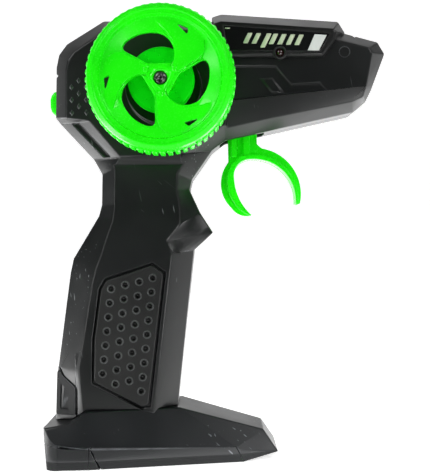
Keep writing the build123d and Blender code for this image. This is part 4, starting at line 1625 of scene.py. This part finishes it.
@dataclass
class Fasteners:
    """Every screw of the handset."""

    case: tuple[Point, ...] = ((-22, 150), (-22, 125), (67.8, 146.3), (-11, 96), (-14, 62), (-24, 26))
    case_y: float = 7.5
    foot: tuple[Point, ...] = ((-27.4, -7.5), (-27.4, 7.5), (-2.6, -7.5), (-2.6, 7.5))
    foot_z: float = 16.6
    board: tuple[Point, ...] = ((-10, 147), (52, 147), (17, 125.5))
    board_y: float = 8.0
    door: Place = (-30.0, 17.0, 1.3)
    hub: Place = (2.6, -36.2, 134.6)

    def build(self, patterns: Patterns) -> None:
        """Copy each size of screw to its places.

        Args:
            patterns: The shared patterns.
        """
        case = [(x, self.case_y, z) for x, z in self.case]
        foot = [(x, y, self.foot_z) for x, y in self.foot]
        board = [(x, self.board_y, z) for x, z in self.board]
        door_size, hub_size = Screw(height=1.0, length=5.0), Screw(height=1.4, length=7.8, slot=0.5)
        groups = (
            ScrewGroup("case_screws", "housing_screws", Screw(length=11.4), Facing.LEFT, case),
            ScrewGroup("foot_screws", "base_screws", Screw(length=10.0), Facing.DOWN, foot),
            ScrewGroup("board_fixings", "board_screws", Screw(head=2.0, length=3.9), Facing.RIGHT, board),
            ScrewGroup("door_fixing", "door_screw", door_size, Facing.DOWN, [self.door], Body.DOOR),
            ScrewGroup(
                "hub_screw", "wheel_screw", hub_size, Facing.RIGHT, [self.hub], Body.STEERING, DARK_STEEL,
                "screw_dark",
            ),
        )
        for group in groups:
            group.build(patterns)


# ---------------------------------------------------------------- studio
@dataclass
class Lamp:
    """A soft rectangular light."""

    name: str
    place: Place
    target: Place
    size: Point
    watts: float
    colour: Colour = (1.0, 1.0, 1.0)

    def hang(self) -> None:
        """Put the light up, aimed at its target."""
        data = bpy.data.lights.new(self.name, "AREA")
        data.shape = "RECTANGLE"
        data.size, data.size_y = self.size
        data.energy = self.watts
        data.color = self.colour
        light = bpy.data.objects.new(self.name, data)
        aim = Vector(self.target) - Vector(self.place)
        light.location = self.place
        light.rotation_euler = aim.to_track_quat("-Z", "Y").to_euler()
        light.visible_camera = False
        bpy.context.scene.collection.objects.link(light)


@dataclass
class Studio:
    """The pale floor, the soft lights and the camera; lengths in metres."""

    camera_place: Place = (0.01985, -0.352, 0.0809)
    camera_roll: float = -1.2
    lens: float = 71.4
    floor_half: float = 2.5
    bend_from: float = 1.2
    bend: float = 0.8
    bend_steps: int = 8
    backdrop_top: float = 3.0
    white: Colour = (0.93, 0.93, 0.93)
    black: Colour = (0.03, 0.03, 0.03)
    dark_edge: Point = (-0.22, -0.05)
    glow: float = 0.72
    surroundings: float = 1.0
    behind_camera: float = 0.035
    world_fade: Point = (0.25, 0.9)
    lamps: tuple[Lamp, ...] = (
        Lamp("key left", (-0.45, -0.50, 0.60), (0.0, 0.0, 0.12), (0.35, 0.35), 2.5),
        Lamp("key right", (0.55, -0.50, 0.55), (0.0, 0.0, 0.12), (0.35, 0.35), 2.4),
        Lamp("glint right", (0.148, -0.27, 0.012), (0.0, -0.04, 0.135), (0.08, 0.08), 0.36),
        Lamp("glint left", (-0.33, -0.42, 0.10), (0.0, -0.03, 0.13), (0.08, 0.14), 0.40),
        Lamp("right", (0.75, 0.15, 0.12), (0.0, 0.0, 0.07), (0.25, 0.4), 0.5),
        Lamp("overhead", (0.0, 0.30, 0.75), (0.0, 0.0, 0.1), (0.6, 0.5), 0.4),
        Lamp("light table", (0.0, 0.35, 0.003), (0.0, 0.35, 1.0), (1.3, 0.75), 6.0),
        Lamp("floor left", (-0.17, -0.05, 0.003), (-0.17, -0.05, 1.0), (0.13, 0.16), 0.55),
    )

    def build(self) -> None:
        """Set up everything that isn't part of the handset."""
        self.floor()
        for lamp in self.lamps:
            lamp.hang()
        self.world()
        self.camera()
        bpy.context.scene.view_settings.view_transform = "Standard"

    def floor(self) -> None:
        """Lay the floor, which darkens ahead of the handset, and turn it up into a backdrop far behind."""
        form = bmesh.new()
        line = [(-self.floor_half, 0.0), (self.bend_from, 0.0)]
        for step in range(1, self.bend_steps + 1):
            angle = step * math.pi / (2 * self.bend_steps)
            line.append((self.bend_from + self.bend * math.sin(angle), self.bend * (1 - math.cos(angle))))
        line.append((self.bend_from + self.bend, self.backdrop_top))
        rows = [[form.verts.new((x, y, z)) for x in (-self.floor_half, self.floor_half)] for y, z in line]
        for near, far in zip(rows, rows[1:]):
            form.faces.new((near[0], near[1], far[1], far[0]))
        backdrop = piece_from("backdrop", mesh_from("backdrop", form))
        shader = Shader("backdrop_paper")
        depth = shader.add("SeparateXYZ", {"Vector": shader.place}).outputs["Y"]
        lit = shader.spread(depth, *self.dark_edge)
        shader.set(Base_Color=shader.blend(lit, self.black, self.white), Roughness=0.8)
        glow = shader.maths("MULTIPLY", lit, self.glow)
        shader.set(Emission_Color=(1.0, 1.0, 1.0, 1.0), Emission_Strength=glow)
        backdrop.data.materials.append(shader.material)

    def world(self) -> None:
        """Surround the scene with white that fades on the near side, where the room is dark."""
        world = bpy.data.worlds.new("room")
        world.use_nodes = True
        tree = world.node_tree
        background = tree.nodes["Background"]
        background.inputs["Color"].default_value = (1.0, 1.0, 1.0, 1.0)
        around = added_node(tree, "ShaderNodeTexCoord", {}, {}).outputs["Generated"]
        heading = added_node(tree, "ShaderNodeSeparateXYZ", {0: around}, {}).outputs["Y"]
        near, far = self.world_fade
        values = {
            "Value": heading, "From Min": near, "From Max": far,
            "To Min": self.behind_camera, "To Max": self.surroundings,
        }
        fade = added_node(tree, "ShaderNodeMapRange", values, {"interpolation_type": "SMOOTHSTEP"})
        tree.links.new(fade.outputs["Result"], background.inputs["Strength"])
        bpy.context.scene.world = world

    def camera(self) -> None:
        """Stand the camera level with the grip, square to the right side."""
        data = bpy.data.cameras.new("camera")
        data.lens = self.lens
        camera = bpy.data.objects.new("camera", data)
        upright = Matrix.Rotation(math.pi / 2, 4, "X")
        roll = Matrix.Rotation(math.radians(self.camera_roll), 4, "Z")
        camera.matrix_world = Matrix.Translation(self.camera_place) @ upright @ roll
        bpy.context.scene.collection.objects.link(camera)
        bpy.context.scene.camera = camera


def main() -> None:
    """Build the sub-assemblies in order, then the studio."""
    logging.basicConfig(level=logging.INFO, format="%(message)s")
    patterns = Patterns(coil_pattern(), copies_pattern(), ring_pattern())
    Housing().build(patterns)
    Hood().build()
    GripPads().build(patterns)
    Foot().build()
    BatteryBay().build(patterns)
    Steering().build(patterns)
    Trigger().build(patterns)
    PowerButton().build()
    Electronics().build()
    Fasteners().build(patterns)
    Studio().build()


if __name__ == "__main__":
    main()
